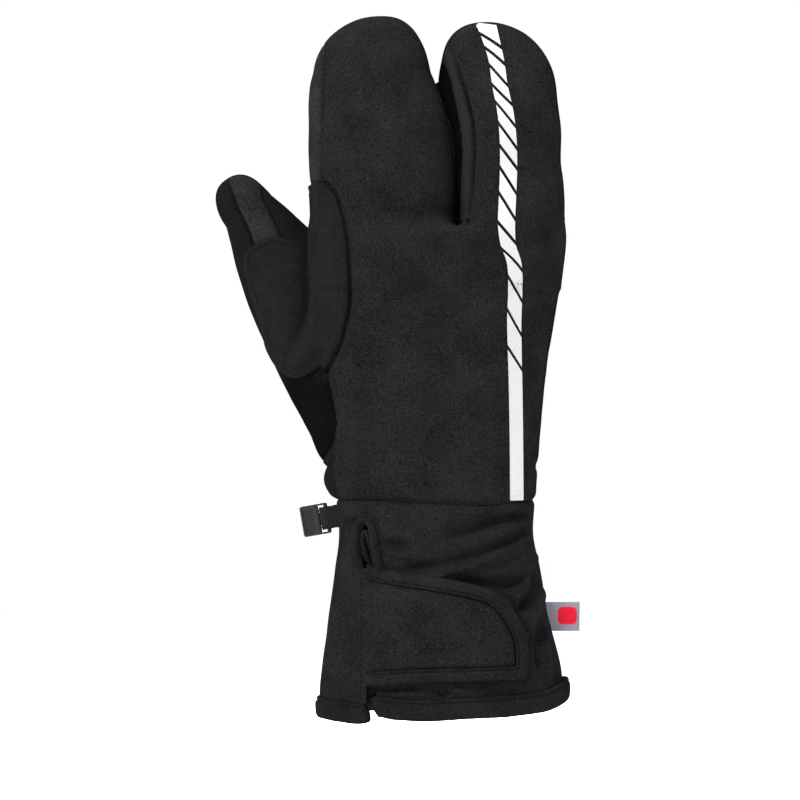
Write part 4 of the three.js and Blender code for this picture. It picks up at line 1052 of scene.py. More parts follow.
flat, triangles = cut_flat(
    lambda x, z: np.minimum.reduce([tab_depth(x, z), BINDING_WIDTH - tab_depth(x, z), x - TAB_LEFT]),
    *TAB_BOX, STEP, (0.25, 0.7),
)
x, z = flat[:, 0], flat[:, 2]
depth = tab_depth(x, z)
roll = edge_roll(depth, 1.5) * (0.6 + 0.4 * edge_roll(BINDING_WIDTH - depth, 0.5))
height = TAB_LIFT + tab_sway(x, z) + BINDING_THICK * (0.12 + 0.88 * roll)
height -= 0.7 * bell(depth - BINDING_STITCH, 0.45)
height -= 0.8 * bell(x - TAB_LEFT, 0.8)
height += 0.1 * slow_noise(flat, 3.2, 9)
binding_mesh = lay_on_cuff(flat, triangles, TAB_LIFT - 0.5 + tab_sway(x, z), height)
binding = add_piece("tab_edge", *binding_mesh, "softshell", ["tab_binding"])

STRIP_LEFT = -34.2
STRIP_RIGHT = TAB_LEFT + 0.3
STRIP_STITCHES = (-33, -32.1)
STRIP = ((STRIP_LEFT, 8.6), (STRIP_LEFT, 61.5), (STRIP_RIGHT, 62.5), (STRIP_RIGHT, 8.6))


def strip_depth(x, z):
    return inside_depth(x, z, np.array(STRIP))


flat, triangles = cut_flat(strip_depth, (-35, 8), (-30, 63), 0.45, (0.3,))
x, z = flat[:, 0], flat[:, 2]
height = 0.3 + 1.0 * edge_roll(strip_depth(x, z), 0.9) + 1.3 * smoothstep(STRIP_LEFT + 1.5, TAB_LEFT, x)
height -= 0.3 * bell(x + 33.1, 0.4)
add_piece("slit_strip", *lay_on_cuff(flat, triangles, -0.3 + 0 * x, height), "softshell", ["cuff_facing"])

# %% [markdown]
# The slit ends in a keyhole so that it does not tear. Its edge is bound with a rolled strip, and
# a second roll of the lining shows inside it. Behind the opening lies the inner flap of the cuff.

# %% Bind the keyhole
def face_frame(line, outset):
    """Points of a line laid on the cuff, with the directions across it and out of the cloth."""
    x, z = line.T
    points = np.stack([x, cuff_face_y(x, z) - outset, z], axis=1)
    run = unit(np.gradient(points, axis=0))
    out = unit(points * (1, 1, 0))
    out = unit(out - run * (out * run).sum(axis=1, keepdims=True))
    return points, np.cross(run, out), out


ROLLS = (
    {"line": OUTER_ROLL, "steps": 90, "half": 1.3, "tall": 2.1, "outset": 0.7, "seed": 1},
    {"line": INNER_ROLL, "steps": 70, "half": 0.85, "tall": 1.4, "outset": -0.5, "seed": 2},
)
rolls = []
for row in ROLLS:
    path, across, out = face_frame(smooth_line(row["line"], row["steps"]), row["outset"])

    def roll_section(share, row=row):
        wave = 1 + 0.1 * math.sin(share * 21 + row["seed"]) + 0.06 * math.sin(share * 47)
        fade = 0.15 + 0.85 * float(smoothstep(0, 0.14, share))
        return oval(row["half"] * wave * fade, row["tall"] * (2 - wave) * fade, 16, 2.2)

    rolls.append(sweep(path, across, out, roll_section))
count = len(rolls[0][0])
keyhole_points = np.concatenate([rolls[0][0], rolls[1][0]])
keyhole_triangles = np.concatenate([rolls[0][1], rolls[1][1] + count])
keyhole = add_piece("keyhole_roll", keyhole_points, keyhole_triangles, "softshell", ["slit_binding"])

FLAP = ((-36, 57), (-36, 76), (-33, 82), (-30, 84), (-26.5, 82), (-23.5, 76), (-22, 57))
flat, triangles = cut_flat(lambda x, z: inside_depth(x, z, rounded(FLAP)), (-38, 55), (-20, 86), 0.7, ())
x, z = flat[:, 0], flat[:, 2]
fold = 0.9 * np.sin((x + 29.5 + 0.12 * (z - 70)) * 1.1)
flap_mesh = lay_on_cuff(flat, triangles, -5.2 + fold, -3.9 + fold)
flap = add_piece("inner_flap", *flap_mesh, "smooth_cloth", ["slit_gusset"])
print("keyhole rolls:", len(rolls), "and a flap of", len(triangles), "triangles")

# %% [markdown]
# The crotch between thumb and palm wears fastest, so it carries two suede patches. They follow
# the padded body underneath: the body's own mesh is cut to each outline and lifted off by the
# thickness of the suede, and the lift dies away at the stitched edge.

# %% The two suede patches
PATCH_THICK = 1.2
PATCH_SUNK = 0.6
PATCH_STITCH = 2.5
PATCHES = {
    "palm_suede": {
        "node": "palm_patch", "outline": palm_patch_outline,
        "side": -1, "back": PALM_PATCH_BACK, "seed": 11,
    },
    "thumb_suede": {
        "node": "thumb_patch", "outline": thumb_patch_outline,
        "side": 1, "back": THUMB_FACE_BACK, "seed": 12,
    },
}


def largest_part(triangles, count):
    """The triangles of the biggest connected part: every corner takes the lowest label next to it."""
    label = np.arange(count)
    for _ in range(400):
        lowest = label[triangles].min(axis=1)
        before = label.copy()
        for i in range(3):
            np.minimum.at(label, triangles[:, i], lowest)
        if (label == before).all():
            break
    return triangles[label[triangles[:, 0]] == np.bincount(label[triangles[:, 0]]).argmax()]


def patch_depth(row, x, y, z):
    depth = np.minimum(inside_depth(x, z, row["outline"]), row["back"] - y)
    return np.minimum(depth, row["side"] * in_crease(x, y, z) + 0.25)


middle = body_points[body_triangles].mean(axis=1)
near_patches = (middle[:, 0] < -34) & (middle[:, 2] > 130)
patch_base, patch_cells, _ = compact(body_points, body_triangles[near_patches])
for name, row in PATCHES.items():
    points, triangles = patch_base, patch_cells
    for level in (0.0, 0.5, 1.3):
        points, triangles = slice_mesh(
            points, triangles, lambda x, y, z: patch_depth(row, x, y, z) - level, snap=0.12,
        )
    inside = patch_depth(row, *points[triangles].mean(axis=1).T) > 0
    points, triangles, _ = compact(points, largest_part(triangles[inside], len(points)))
    out = field_normals(body_distance, points)
    depth = patch_depth(row, *points.T)
    lift = 0.1 + PATCH_THICK * edge_roll(depth, 1.1) - 0.4 * bell(depth - PATCH_STITCH, 0.6)
    folds = crease_relief(points[:, 0], points[:, 2], HAND_CREASES)
    lift += folds + 0.35 * slow_noise(points, 16, row["seed"])
    patch_mesh = slab(points + out * lift[:, None], points - out * PATCH_SUNK, triangles)
    patch = add_piece(name, *patch_mesh, "suede", [row["node"]])
    area = float(np.linalg.norm(face_normals(points, triangles), axis=1).sum() / 2)
    size = np.ptp(points, axis=0)
    row["flat"] = (float(max(size[0], area / size[2])) * MM * 1.12, float(size[2]) * MM * 1.05)
    print(name, round(area), "square mm, cut from", [round(v / MM) for v in row["flat"]])

# %% [markdown]
# Small parts have to lie on the finished cloth, with its dips and folds. A ray from the front finds
# the place and the way the cloth faces there. A tree of the cloth's triangles makes that fast.

# %% Find the cloth under any point of the front
def front_tree(names):
    points, triangles, count = [], [], 0
    for name in names:
        mesh = made_pieces[name].data
        own = np.empty(len(mesh.vertices) * 3, dtype=np.float32)
        mesh.vertices.foreach_get("co", own)
        corners = np.empty(len(mesh.loops), dtype=np.int32)
        mesh.loops.foreach_get("vertex_index", corners)
        points.append(own.reshape(-1, 3) / MM)
        triangles.append(corners.reshape(-1, 3) + count)
        count += len(mesh.vertices)
    return BVHTree.FromPolygons(np.concatenate(points).tolist(), np.concatenate(triangles).tolist())


def land(tree, x, z):
    """Where a ray from the front meets the cloth, and which way the cloth faces there."""
    place, facing, _, _ = tree.ray_cast(Vector((x, -120, z)), Vector((0, 1, 0)))
    if place is None:
        place, facing, _, _ = tree.find_nearest(Vector((x, 0, z)))
    return np.array(place), np.array(facing)


back_tree = front_tree(["padded_back"])
print("cloth in the middle of the back:", land(back_tree, 0, 150)[0].round(1))

# %% [markdown]
# The reflective tape is cut into slanting tiles with a sliver of cloth between them, as heat-pressed
# tape is, so that it can bend with the hand. Its middle line and half width are one table, and the
# slashes between the tiles are another. Each tile is a small grid laid on the cloth point by point.

# %% The reflective stripe
STRIPE = {
    "z": (
        80, 113, 137, 149, 162, 173, 185, 191, 197,
        209, 221, 233.4, 245.7, 255.3, 265.4, 275.3, 281, 290,
    ),
    "x": (
        29.2, 29, 28.6, 28.3, 28.1, 28.5, 27.8, 25.7, 25.1,
        25.5, 26, 25.9, 24.7, 22.8, 21.5, 19.1, 17.5, 15,
    ),
    "half": (2.6, 2.6, 2.65, 2.7, 2.8, 2.8, 2.9, 3, 3.3, 3.4, 3.4, 3.35, 3.2, 3.1, 3.1, 3.5, 3.9, 4),
}
SLASHES = {
    "left": (277, 271.1, 263.9, 255.9, 248.7, 240, 230.9, 222.2, 211.8, 200, 189.4, 178.4, 165.2, 150.3),
    "drop": (5.8, 6.7, 8.4, 8.2, 9.9, 10.2, 9.2, 10.5, 10.5, 8.2, 8.5, 9.7, 9.9, 8.8),
}
SLASH_COUNT = len(SLASHES["left"])
SLASH_GAP = 2.1
STRIPE_TOP = (281.9, 280.6)
STRIPE_FOOT = 89.4
TAPE_LIFT = 0.15
TAPE_THICK = 0.3
TILE_ROW = 1.3
TILE_COLUMNS = 9


def slash(index, side):
    """The heights of a slash's left and right ends, on its upper or lower side."""
    left = SLASHES["left"][index] + side * SLASH_GAP / 2
    return left, left - SLASHES["drop"][index]


def tape_tile(high, low):
    """One tile of tape between two slanting ends, each given as its left and right heights."""
    rows = max(5, int((high[0] - low[0]) / TILE_ROW))
    across, down = np.meshgrid(np.linspace(0, 1, TILE_COLUMNS), np.linspace(0, 1, rows))
    top = high[0] + (high[1] - high[0]) * across
    foot = low[0] + (low[1] - low[0]) * across
    z = (top + (foot - top) * down).ravel()
    x = column(STRIPE, "x", z) + (2 * across.ravel() - 1) * column(STRIPE, "half", z)
    landed = [land(back_tree, float(px), float(pz)) for px, pz in zip(x, z)]
    points = np.array([place for place, _ in landed])
    facing = np.array([facing for _, facing in landed])
    triangles = grid_triangles(rows, TILE_COLUMNS)
    if (face_normals(points, triangles) * facing[triangles[:, 0]]).sum() < 0:
        triangles = triangles[:, ::-1]
    return slab(points + facing * (TAPE_LIFT + TAPE_THICK), points - facing * 0.1, triangles)


highs = [STRIPE_TOP, *(slash(i, -1) for i in range(SLASH_COUNT))]
lows = [*(slash(i, 1) for i in range(SLASH_COUNT)), (STRIPE_FOOT, STRIPE_FOOT)]
for i, (high, low) in enumerate(zip(highs, lows)):
    add_piece(f"tape_{i + 1:02d}", *tape_tile(high, low), "reflective", [f"stripe_{i + 1:02d}"])
print("stripe tiles:", len(highs))

# %% [markdown]
# The plastic clip hooks this glove to its pair. It is moulded: a plate with a slot for webbing, a
# bar at its end and a small hook behind. The webbing is a folded tape with woven ribs. Both are
# drawn flat in the clip's own frame, and then turned and set at the wrist.

# %% Clip, webbing and side label
CLIP_CENTRE = (-51.5, 0.0, 80.9)
CLIP_TURN = math.radians(-10)
CLIP_HALF = 5.7
CLIP_TALL = 6.3
CLIP_THICK = 2.0
SLOT = {"left": 1.9, "right": 4.0, "half": 5.4}
HOOK = ((-4.6, 0.6), (-4.85, 2.6), (-4.2, 3.5), (-2.6, 3.7), (-0.2, 3.5))
WEBBING_HALF = 4.5
WEBBING_THICK = 1.15
WEBBING_RIB = 1.15


def set_at_wrist(points):
    x, y, z = np.asarray(points, float).T
    c, s = math.cos(CLIP_TURN), math.sin(CLIP_TURN)
    turned = (CLIP_CENTRE[0] + c * x + s * z, CLIP_CENTRE[1] + y, CLIP_CENTRE[2] - s * x + c * z)
    return np.stack(turned, axis=1)


def flat_path(corners, count):
    """A line drawn in the clip's plane, as points with the directions across it and up."""
    line = smooth_line(corners, count)
    points = np.stack([line[:, 0], line[:, 1], 0 * line[:, 0]], axis=1)
    across = np.cross(unit(np.gradient(points, axis=0)), (0, 0, 1))
    return points, across, np.tile((0.0, 0.0, 1.0), (count, 1))


def clip_depth(x, z):
    body = np.minimum(CLIP_HALF - np.abs(x), CLIP_TALL - np.abs(z))
    corner = np.hypot(np.maximum(np.abs(x) - CLIP_HALF + 1, 0), np.maximum(np.abs(z) - CLIP_TALL + 1, 0))
    body = np.minimum(body, np.where(corner > 0, 1 - corner, body))
    slot_x = np.maximum(SLOT["left"] - x, x - SLOT["right"])
    return np.minimum(body, np.maximum(slot_x, np.abs(z) - SLOT["half"]))


flat, triangles = cut_flat(clip_depth, (-6, -7), (6, 7), 0.3, (0.16, 0.4))
x, z = flat[:, 0], flat[:, 2]
half = CLIP_THICK / 2 * (0.45 + 0.55 * edge_roll(clip_depth(x, z), 0.45))
dish = 0.18 * smoothstep(0.6, 1.4, clip_depth(x, z)) * (x < 0)
plate = slab(np.stack([x, -half + dish, z], axis=1), np.stack([x, half, z], axis=1), triangles[:, ::-1])
hook = sweep(*flat_path(HOOK, 26), lambda share: oval(0.65, CLIP_TALL - 1.3, 20, 5))
clip_points = np.concatenate([plate[0], hook[0]])
clip_triangles = np.concatenate([plate[1], hook[1] + len(plate[0])])
clip = add_piece(
    "wrist_clip", set_at_wrist(clip_points), clip_triangles, "clip_plastic", ["clip"], sharp=35,
)

LOOP = (
    (15.2, -2), (11, -2.1), (7, -2), (4.1, -1.95), (2.8, -1.2), (2.5, 0), (2.8, 1.2), (4.1, 1.95), (7, 2),
    (11, 2.1), (15.2, 2),
)


def tape_section(share):
    section = oval(WEBBING_THICK / 2, WEBBING_HALF, 44, 7)
    rib = 0.12 * np.cos(section[:, 1] * 2 * math.pi / WEBBING_RIB)
    section[:, 0] += np.sign(section[:, 0]) * rib * (np.abs(section[:, 1]) < WEBBING_HALF - 0.5)
    section[:, 1] *= 1 + 0.02 * math.sin(share * 60)
    return section


loop_points, loop_triangles = sweep(*flat_path(LOOP, 90), tape_section)
webbing_piece = add_piece(
    "webbing_loop", set_at_wrist(loop_points), loop_triangles, "webbing", ["clip_webbing"],
)

LABEL = {"left": 39.5, "right": 55.2, "low": 36.0, "high": 47.7, "half": 0.45}


def label_depth(x, z):
    from_sides = np.minimum(x - LABEL["left"], LABEL["right"] - x)
    return np.minimum(from_sides, np.minimum(z - LABEL["low"], LABEL["high"] - z))


flat, triangles = cut_flat(label_depth, (39, 35), (56, 48.5), 0.4, (0.3,))
x, z = flat[:, 0], flat[:, 2]
bow = 0.9 * ((x - LABEL["left"]) / 15.7) ** 2 + 0.25 * np.sin((z - 36) * 0.55)
half = LABEL["half"] * (0.5 + 0.5 * edge_roll(label_depth(x, z), 0.4))
fold = 0.25 * bell(x - LABEL["right"], 0.7)
label_front = np.stack([x, bow - 0.4 - half - fold, z], axis=1)
label_back = np.stack([x, bow - 0.4 + half + fold, z], axis=1)
label_mesh = slab(label_front, label_back, triangles[:, ::-1])
label = add_piece("woven_label", *label_mesh, "label", ["side_label"])
print("small parts:", clip.name, webbing_piece.name, label.name)

# %% [markdown]
# Stitches are real little threads. Each one is a short rounded bar laid along the seam and sunk
# halfway into the cloth, because that is what catches the light on a sewn edge.

# %% Sew the stitch lines
STITCH_SIDES = 6
STITCH_RINGS = ((0.12, 0.7), (0.35, 1.0), (0.65, 1.0), (0.88, 0.7))
STITCH_POINTS = len(STITCH_RINGS) * STITCH_SIDES + 2
LINE_BREAK = 8
PATCH_INSET = 1.9


def stitch_shape(start, end, facing, radius):
    """One stitch from start to end: a bar with tapered ends, thickest in its middle."""
    run = end - start
    along = run / np.linalg.norm(run)
    side = unit(np.cross(along, facing))
    up = np.cross(side, along)
    rings = []
    for share, size in STITCH_RINGS:
        centre = start + run * share
        for k in range(STITCH_SIDES):
            angle = 2 * math.pi * k / STITCH_SIDES
            rings.append(centre + radius * size * (math.cos(angle) * side + math.sin(angle) * up))
    return np.array([*rings, start, end])


def stitch_cells():
    cells = grid_triangles(len(STITCH_RINGS), STITCH_SIDES, closed=True)
    i = np.arange(STITCH_SIDES)
    j = (i + 1) % STITCH_SIDES
    start, end = STITCH_POINTS - 2, STITCH_POINTS - 1
    last = start - STITCH_SIDES
    caps = [np.stack([j, i, 0 * i + start], axis=1), np.stack([i + last, j + last, 0 * i + end], axis=1)]
    return np.concatenate([cells, *caps])


def sew(name, tree, line, pitch=2.1, fill=0.66, radius=0.25, out=0.05):
    """A row of stitches along a line in X and Z, on the cloth that the tree knows."""
    length = float(np.linalg.norm(np.diff(line, axis=0), axis=1).sum())
    count = max(2, int(length / pitch))
    ends = smooth_line(line, 2 * count + 1)
    points, cells = [], []
    for i in range(count):
        a, b = ends[2 * i], ends[2 * i + 1] * fill + ends[2 * i + 2] * (1 - fill)
        start, facing = land(tree, *a)
        end, _ = land(tree, *b)
        if np.linalg.norm(end - start) > 2 * pitch:
            continue
        if facing[1] > 0:
            facing = -facing
        cells.append(stitch_cells() + STITCH_POINTS * len(points))
        points.append(stitch_shape(start + facing * out, end + facing * out, facing, radius))
    sewn = add_piece(name, np.concatenate(points), np.concatenate(cells), sharp=80)
    print(name, len(points), "stitches")
    return sewn


def outline_inset(outline_value, outline, inset):
    """The line at a depth inside an outline, found by walking each point inwards."""
    points = np.array(outline, float)
    for _ in range(6):
        x, z = points.T
        step = 0.05
        here = outline_value(x, z)
        slope = np.stack([outline_value(x + step, z) - here, outline_value(x, z + step) - here], axis=1)
        points = points + unit(slope / step) * (inset - here)[:, None] * 0.7
    return points


def from_its_break(line):
    """The same points, started after the gap where part of a closed line was left out."""
    jumps = np.linalg.norm(np.diff(line, axis=0), axis=1)
    after = int(np.argmax(jumps > LINE_BREAK)) + 1
    if jumps[after - 1] > LINE_BREAK:
        line = np.concatenate([line[after:], line[:after]])
    return line


cuff_tree = front_tree(["tab_cloth", "tab_edge", "slit_strip", "cuff_wall", "rolled_hem", "padded_back"])
tab_line = outline_inset(tab_depth, tab_outline, BINDING_STITCH)
tab_line = from_its_break(tab_line[tab_line[:, 0] > TAB_LEFT + 0.6])
tab_row = sew("stitch_tab_edge", cuff_tree, tab_line)
for name, x in zip(("stitch_strip_left", "stitch_strip_right"), STRIP_STITCHES):
    sew(name, cuff_tree, np.array([(x, 61), (x, 9.6)]))
for name, left, right, table, above in (
    ("stitch_wrist", -41, 36, WRIST_LINE, 0.9),
    ("stitch_hem_left", -48, -30.5, HEM_BACK, HEM_STITCH),
    ("stitch_hem_right", -25.5, 47.5, HEM_BACK, HEM_STITCH),
):
    x = np.linspace(left, right, 40)
    sew(name, cuff_tree, np.stack([x, column(table, "z", x, "x") + above], axis=1))

patch_tree = front_tree(["palm_suede", "thumb_suede"])


def patch_edge(outline):
    return outline_inset(lambda x, z: inside_depth(x, z, outline), outline, PATCH_INSET)


palm_edge = patch_edge(palm_patch_outline)
palm_edge = palm_edge[(palm_edge[:, 0] > -51.5) & (palm_edge[:, 1] > 138)]
sew("stitch_palm_patch", patch_tree, palm_edge)
foot_edge = np.array([(-45.6, 142.6), (-49.5, 140), (-55, 138.9), (-60, 139)])
sew("stitch_patch_foot", patch_tree, foot_edge)
thumb_edge = patch_edge(thumb_patch_outline)
sew("stitch_thumb_patch", patch_tree, from_its_break(thumb_edge[thumb_edge[:, 0] < -62]))

# %% [markdown]
# A material is a formula over the surface. A small class lets shader outputs be added, multiplied
# and compared like numbers, so that each look below reads as arithmetic and not as wiring.

# %% Shader arithmetic
class Signal:
    """One output of a shader node."""

    def __init__(self, tree, socket):
        self.tree = tree
        self.socket = socket

    def math(self, operation, first, second=0.0):
        inputs = {0: first, 1: second}
        return make_node(self.tree, "ShaderNodeMath", {"operation": operation}, inputs, "Value")

    def __add__(self, other):
        return self.math("ADD", self, other)

    def __radd__(self, other):
        return self.math("ADD", other, self)

    def __sub__(self, other):
        return self.math("SUBTRACT", self, other)

    def __rsub__(self, other):
        return self.math("SUBTRACT", other, self)

    def __mul__(self, other):
        return self.math("MULTIPLY", self, other)

    def __rmul__(self, other):
        return self.math("MULTIPLY", other, self)

    def __truediv__(self, other):
        return self.math("DIVIDE", self, other)

    def __rtruediv__(self, other):
        return self.math("DIVIDE", other, self)

    def __pow__(self, other):
        return self.math("POWER", self, other)

    def __rpow__(self, other):
        return self.math("POWER", other, self)

    def wave(self):
        return self.math("SINE", self)

    def without_sign(self):
        return self.math("ABSOLUTE", self)

    def above_zero(self):
        return self.math("MAXIMUM", self)

    def within(self, low, high):
        """0 below low, 1 above high, and a smooth rise between them."""
        inputs = {"Value": self, "From Min": low, "From Max": high}
        settings = {"interpolation_type": "SMOOTHSTEP"}
        return make_node(self.tree, "ShaderNodeMapRange", settings, inputs, "Result")

    def blend(self, first, second):
        """A colour between two, by this signal."""
        inputs = {"Factor": self, 6: first, 7: second}
        return make_node(self.tree, "ShaderNodeMix", {"data_type": "RGBA"}, inputs, 2)


def make_node(tree, kind, settings, inputs, output):
    """Adds any node: its settings go in first, then its input values or links."""
    node = tree.nodes.new(kind)
    for name, value in settings.items():
        setattr(node, name, value)
    for name, value in inputs.items():
        if isinstance(value, Signal):
            tree.links.new(value.socket, node.inputs[name])
        else:
            node.inputs[name].default_value = value
    return Signal(tree, node.outputs[output])


def start_material(name):
    """An empty material, with positions in millimetres as x, y and z signals."""
    material = bpy.data.materials.new(name)
    material.use_nodes = True
    tree = material.node_tree
    tree.nodes.clear()
    place = make_node(tree, "ShaderNodeTexCoord", {}, {}, "Object")
    inputs = {0: place, "Scale": 1 / MM}
    in_mm = make_node(tree, "ShaderNodeVectorMath", {"operation": "SCALE"}, inputs, "Vector")
    split = make_node(tree, "ShaderNodeSeparateXYZ", {}, {0: in_mm}, 0)
    axes = [Signal(tree, output) for output in split.socket.node.outputs]
    return material, tree, in_mm, axes


def speckle(tree, place, size, detail=2.0, rough=0.6):
    """Noise whose grains are about size millimetres across."""
    inputs = {"Vector": place, "Scale": 1.0 / size, "Detail": detail, "Roughness": rough}
    return make_node(tree, "ShaderNodeTexNoise", {}, inputs, "Fac")


def finish_material(tree, values, height=None, depth_mm=0.1):
    """Connects the surface: constants and signals by socket name, and a bump from a height."""
    values = dict(values)
    if height is not None:
        inputs = {"Height": height, "Distance": depth_mm * MM, "Strength": 1.0}
        values["Normal"] = make_node(tree, "ShaderNodeBump", {}, inputs, "Normal")
    surface = make_node(tree, "ShaderNodeBsdfPrincipled", {}, values, 0)
    output = tree.nodes.new("ShaderNodeOutputMaterial")
    tree.links.new(surface.socket, output.inputs["Surface"])


def grey(level, warm=0.0, cool=0.0):
    return (level * (1 + warm), level, level * (1 + cool), 1.0)


print("mid grey with a cool tint:", grey(0.2, cool=0.1))

# %% [markdown]
# Softshell is a knitted face over a windproof film. Charcoal and black yarns are mixed before
# knitting, which gives the fine heathered speckle; the knit itself only shows as a faint bump.
# Suede has no knit, only a nap that has been stroked one way or another. In a white room the deep places
# by the thumb would come out too pale, so shade is painted into the cloth there: on the suede towards the
# crotch, and on the front of the thumb's lower shell.

# %% Cloths, suede and thread
# Painted shade on the front of the thumb's lower shell: how much darker it is, how soft its top edge is,
# and how far back it reaches.
PAINTED_SHADE_SHARE = 0.45
PAINTED_SHADE_BLUR = 4.0
PAINTED_SHADE_FRONT = (1.0, 11.0)
SUEDE_TINT = (0.01, 0.09)
# Painted shade on the thumb patch's suede: darkest at the valley beside the palm patch, fading over reach
# mm.
CROTCH_SHADE = {
    "x": -53.0, "bend_z": 168.0, "slope": 0.31, "reach": 10.0,
    "from_z": 148.0, "full_z": 166.0, "dimmed": 0.5,
}


def knit_cloth(name, dark, light, pitch=0.62, grain=0.1, tint=(0.0, 0.08), painted_shade_below=None):
    """Mixed yarns between two greys. Below a height, the front can be darkened by painted shade."""
    material, tree, place, (x, y, z) = start_material(name)
    yarn = speckle(tree, place, 0.55, 3.0, 0.8)
    patch = speckle(tree, place, 14.0, 2.0, 0.5)
    rows = (z * (2 * math.pi / pitch)).wave()
    wales = ((x + 0.35 * y) * (2 * math.pi / pitch)).wave()
    knit = rows * wales
    mixed = (yarn + knit * 0.05 + patch * 0.2 - 0.1).within(0.34, 0.68)
    colour = mixed.blend(grey(dark, *tint), grey(light, *tint))
    # Painted shade: below the given height, the front of the cloth is darkened where shade falls.
    if painted_shade_below is not None:
        dimmed = mixed.blend(grey(dark * PAINTED_SHADE_SHARE, *tint), grey(light * PAINTED_SHADE_SHARE, *tint))
        above = z.within(painted_shade_below - PAINTED_SHADE_BLUR, painted_shade_below + PAINTED_SHADE_BLUR)
        shade = (1.0 - above) * (1.0 - y.within(*PAINTED_SHADE_FRONT))
        colour = shade.blend(colour, dimmed)
    values = {
        "Base Color": colour,
        "Roughness": 0.82 + 0.1 * yarn,
        "Specular IOR Level": 0.0,
    }
    finish_material(tree, values, yarn * 0.8 + knit * 0.35, grain)
    return material


def suede_cloth(name, dark, light, paint_crotch_shade=False):
    """A mottled nap between two greys. In the crotch, painted shade darkens it towards the valley."""
    material, tree, place, (x, _, z) = start_material(name)
    nap = speckle(tree, place, 0.5, 3.0, 0.75)
    stroke = speckle(tree, place, 5.0, 3.0, 0.6)
    mixed = (nap * 0.75 + stroke * 0.4 - 0.08).within(0.3, 0.75)
    colour = mixed.blend(grey(dark, *SUEDE_TINT), grey(light, *SUEDE_TINT))
    # Painted shade: the suede darkens towards the valley of the crotch, where shade falls.
    if paint_crotch_shade:
        painted_shade_greys = [grey(level * CROTCH_SHADE["dimmed"], *SUEDE_TINT) for level in (dark, light)]
        below_bend = (CROTCH_SHADE["bend_z"] - z).above_zero()
        left_of_valley = CROTCH_SHADE["x"] - below_bend * CROTCH_SHADE["slope"] - x
        near_valley = 1.0 - left_of_valley.within(0.0, CROTCH_SHADE["reach"])
        shade = near_valley * z.within(CROTCH_SHADE["from_z"], CROTCH_SHADE["full_z"])
        colour = shade.blend(colour, mixed.blend(*painted_shade_greys))
    values = {
        "Base Color": colour,
        "Roughness": 0.95,
        "Specular IOR Level": 0.0,
    }
    finish_material(tree, values, nap, 0.14)
    return material


def plain_thread(name, level):
    material, tree, place, _ = start_material(name)
    fibre = speckle(tree, place, 0.2, 2.0, 0.6)
    values = {
        "Base Color": fibre.within(0.3, 0.7).blend(grey(level * 0.6), grey(level * 1.4)),
        "Roughness": 0.6,
        "Specular IOR Level": 0.02,
    }
    finish_material(tree, values, fibre, 0.03)
    return material


softshell = knit_cloth("heathered softshell", 0.0010, 0.0053)
thumb_softshell = knit_cloth("softshell of the thumb", 0.0016, 0.0080)
hem_cloth = knit_cloth("rolled softshell", 0.0010, 0.0046)
palm_cloth = knit_cloth("smooth palm cloth", 0.0014, 0.0028, pitch=0.5, grain=0.05)
# Painted shade: a near-black copy of the palm cloth for the shaded fork between the lobes.
fork_shade_cloth = knit_cloth("painted black fork shade", 0.0003, 0.0009, pitch=0.5, grain=0.05)
# The thumb's lower shell carries painted shade on its front below 138 mm.
side_cloth = knit_cloth("smooth thumb cloth", 0.0013, 0.0027, pitch=0.5, grain=0.05, painted_shade_below=138.0)
fork_cloth = knit_cloth("smooth fork cloth", 0.0028, 0.0050, pitch=0.5, grain=0.05, tint=(-0.02, 0.1))
suede = suede_cloth("suede patch", 0.0018, 0.0038)
# The thumb patch's suede carries painted shade towards the crotch.
crotch_shaded_suede = suede_cloth("suede with painted crotch shade", 0.0018, 0.0038, paint_crotch_shade=True)
thread = plain_thread("sewing thread", 0.0009)
print("cloths:", len(bpy.data.materials))

# %% [markdown]
# Each padded panel gets its cloth. Deep in the fork between the lobes, on the ring lobe's side, the palm
# panel carries painted shade: a near-black second material on some of its triangles.

# %% Dress the padded panels
CLOTH_OF = {
    "padded_back": softshell, "padded_palm": palm_cloth, "side_strip": thumb_softshell,
    "fork_strip": fork_cloth, "elastic_gather": palm_cloth, "thumb_sides": side_cloth,
    "thumb_front": thumb_softshell,
}
for name, cloth in CLOTH_OF.items():
    made_pieces[name].data.materials.append(cloth)
palm_mesh = made_pieces["padded_palm"].data
# Painted shade on the palm triangles deep in the fork, where the lobes shade each other.
palm_mesh.materials.append(fork_shade_cloth)
corners = np.empty(len(palm_mesh.vertices) * 3)
palm_mesh.vertices.foreach_get("co", corners)
loops = np.empty(len(palm_mesh.loops), dtype=np.int32)
palm_mesh.loops.foreach_get("vertex_index", loops)
x, y, z = (corners.reshape(-1, 3)[loops.reshape(-1, 3)].mean(axis=1) / MM).T
in_fork = (on_ring_side(x, y, z) > 0) & (x < column(RING_FORK_SEAM, "x", z)) & (y < GUSSET_PALM_Y)
palm_mesh.polygons.foreach_set("material_index", in_fork.astype(np.int32))
print("triangles of painted black fork shade:", int(in_fork.sum()))
made_pieces["cuff_wall"].data.materials.append(softshell)
made_pieces["rolled_hem"].data.materials.append(hem_cloth)

# %% [markdown]
# The hard and shiny parts come last. Reflective tape is packed with glass beads, the clip is dull
# moulded plastic, and the webbing and the label are woven. The label's red patch is a rounded
# square, drawn as a formula: the fourth powers of the distances from its middle add up to one.

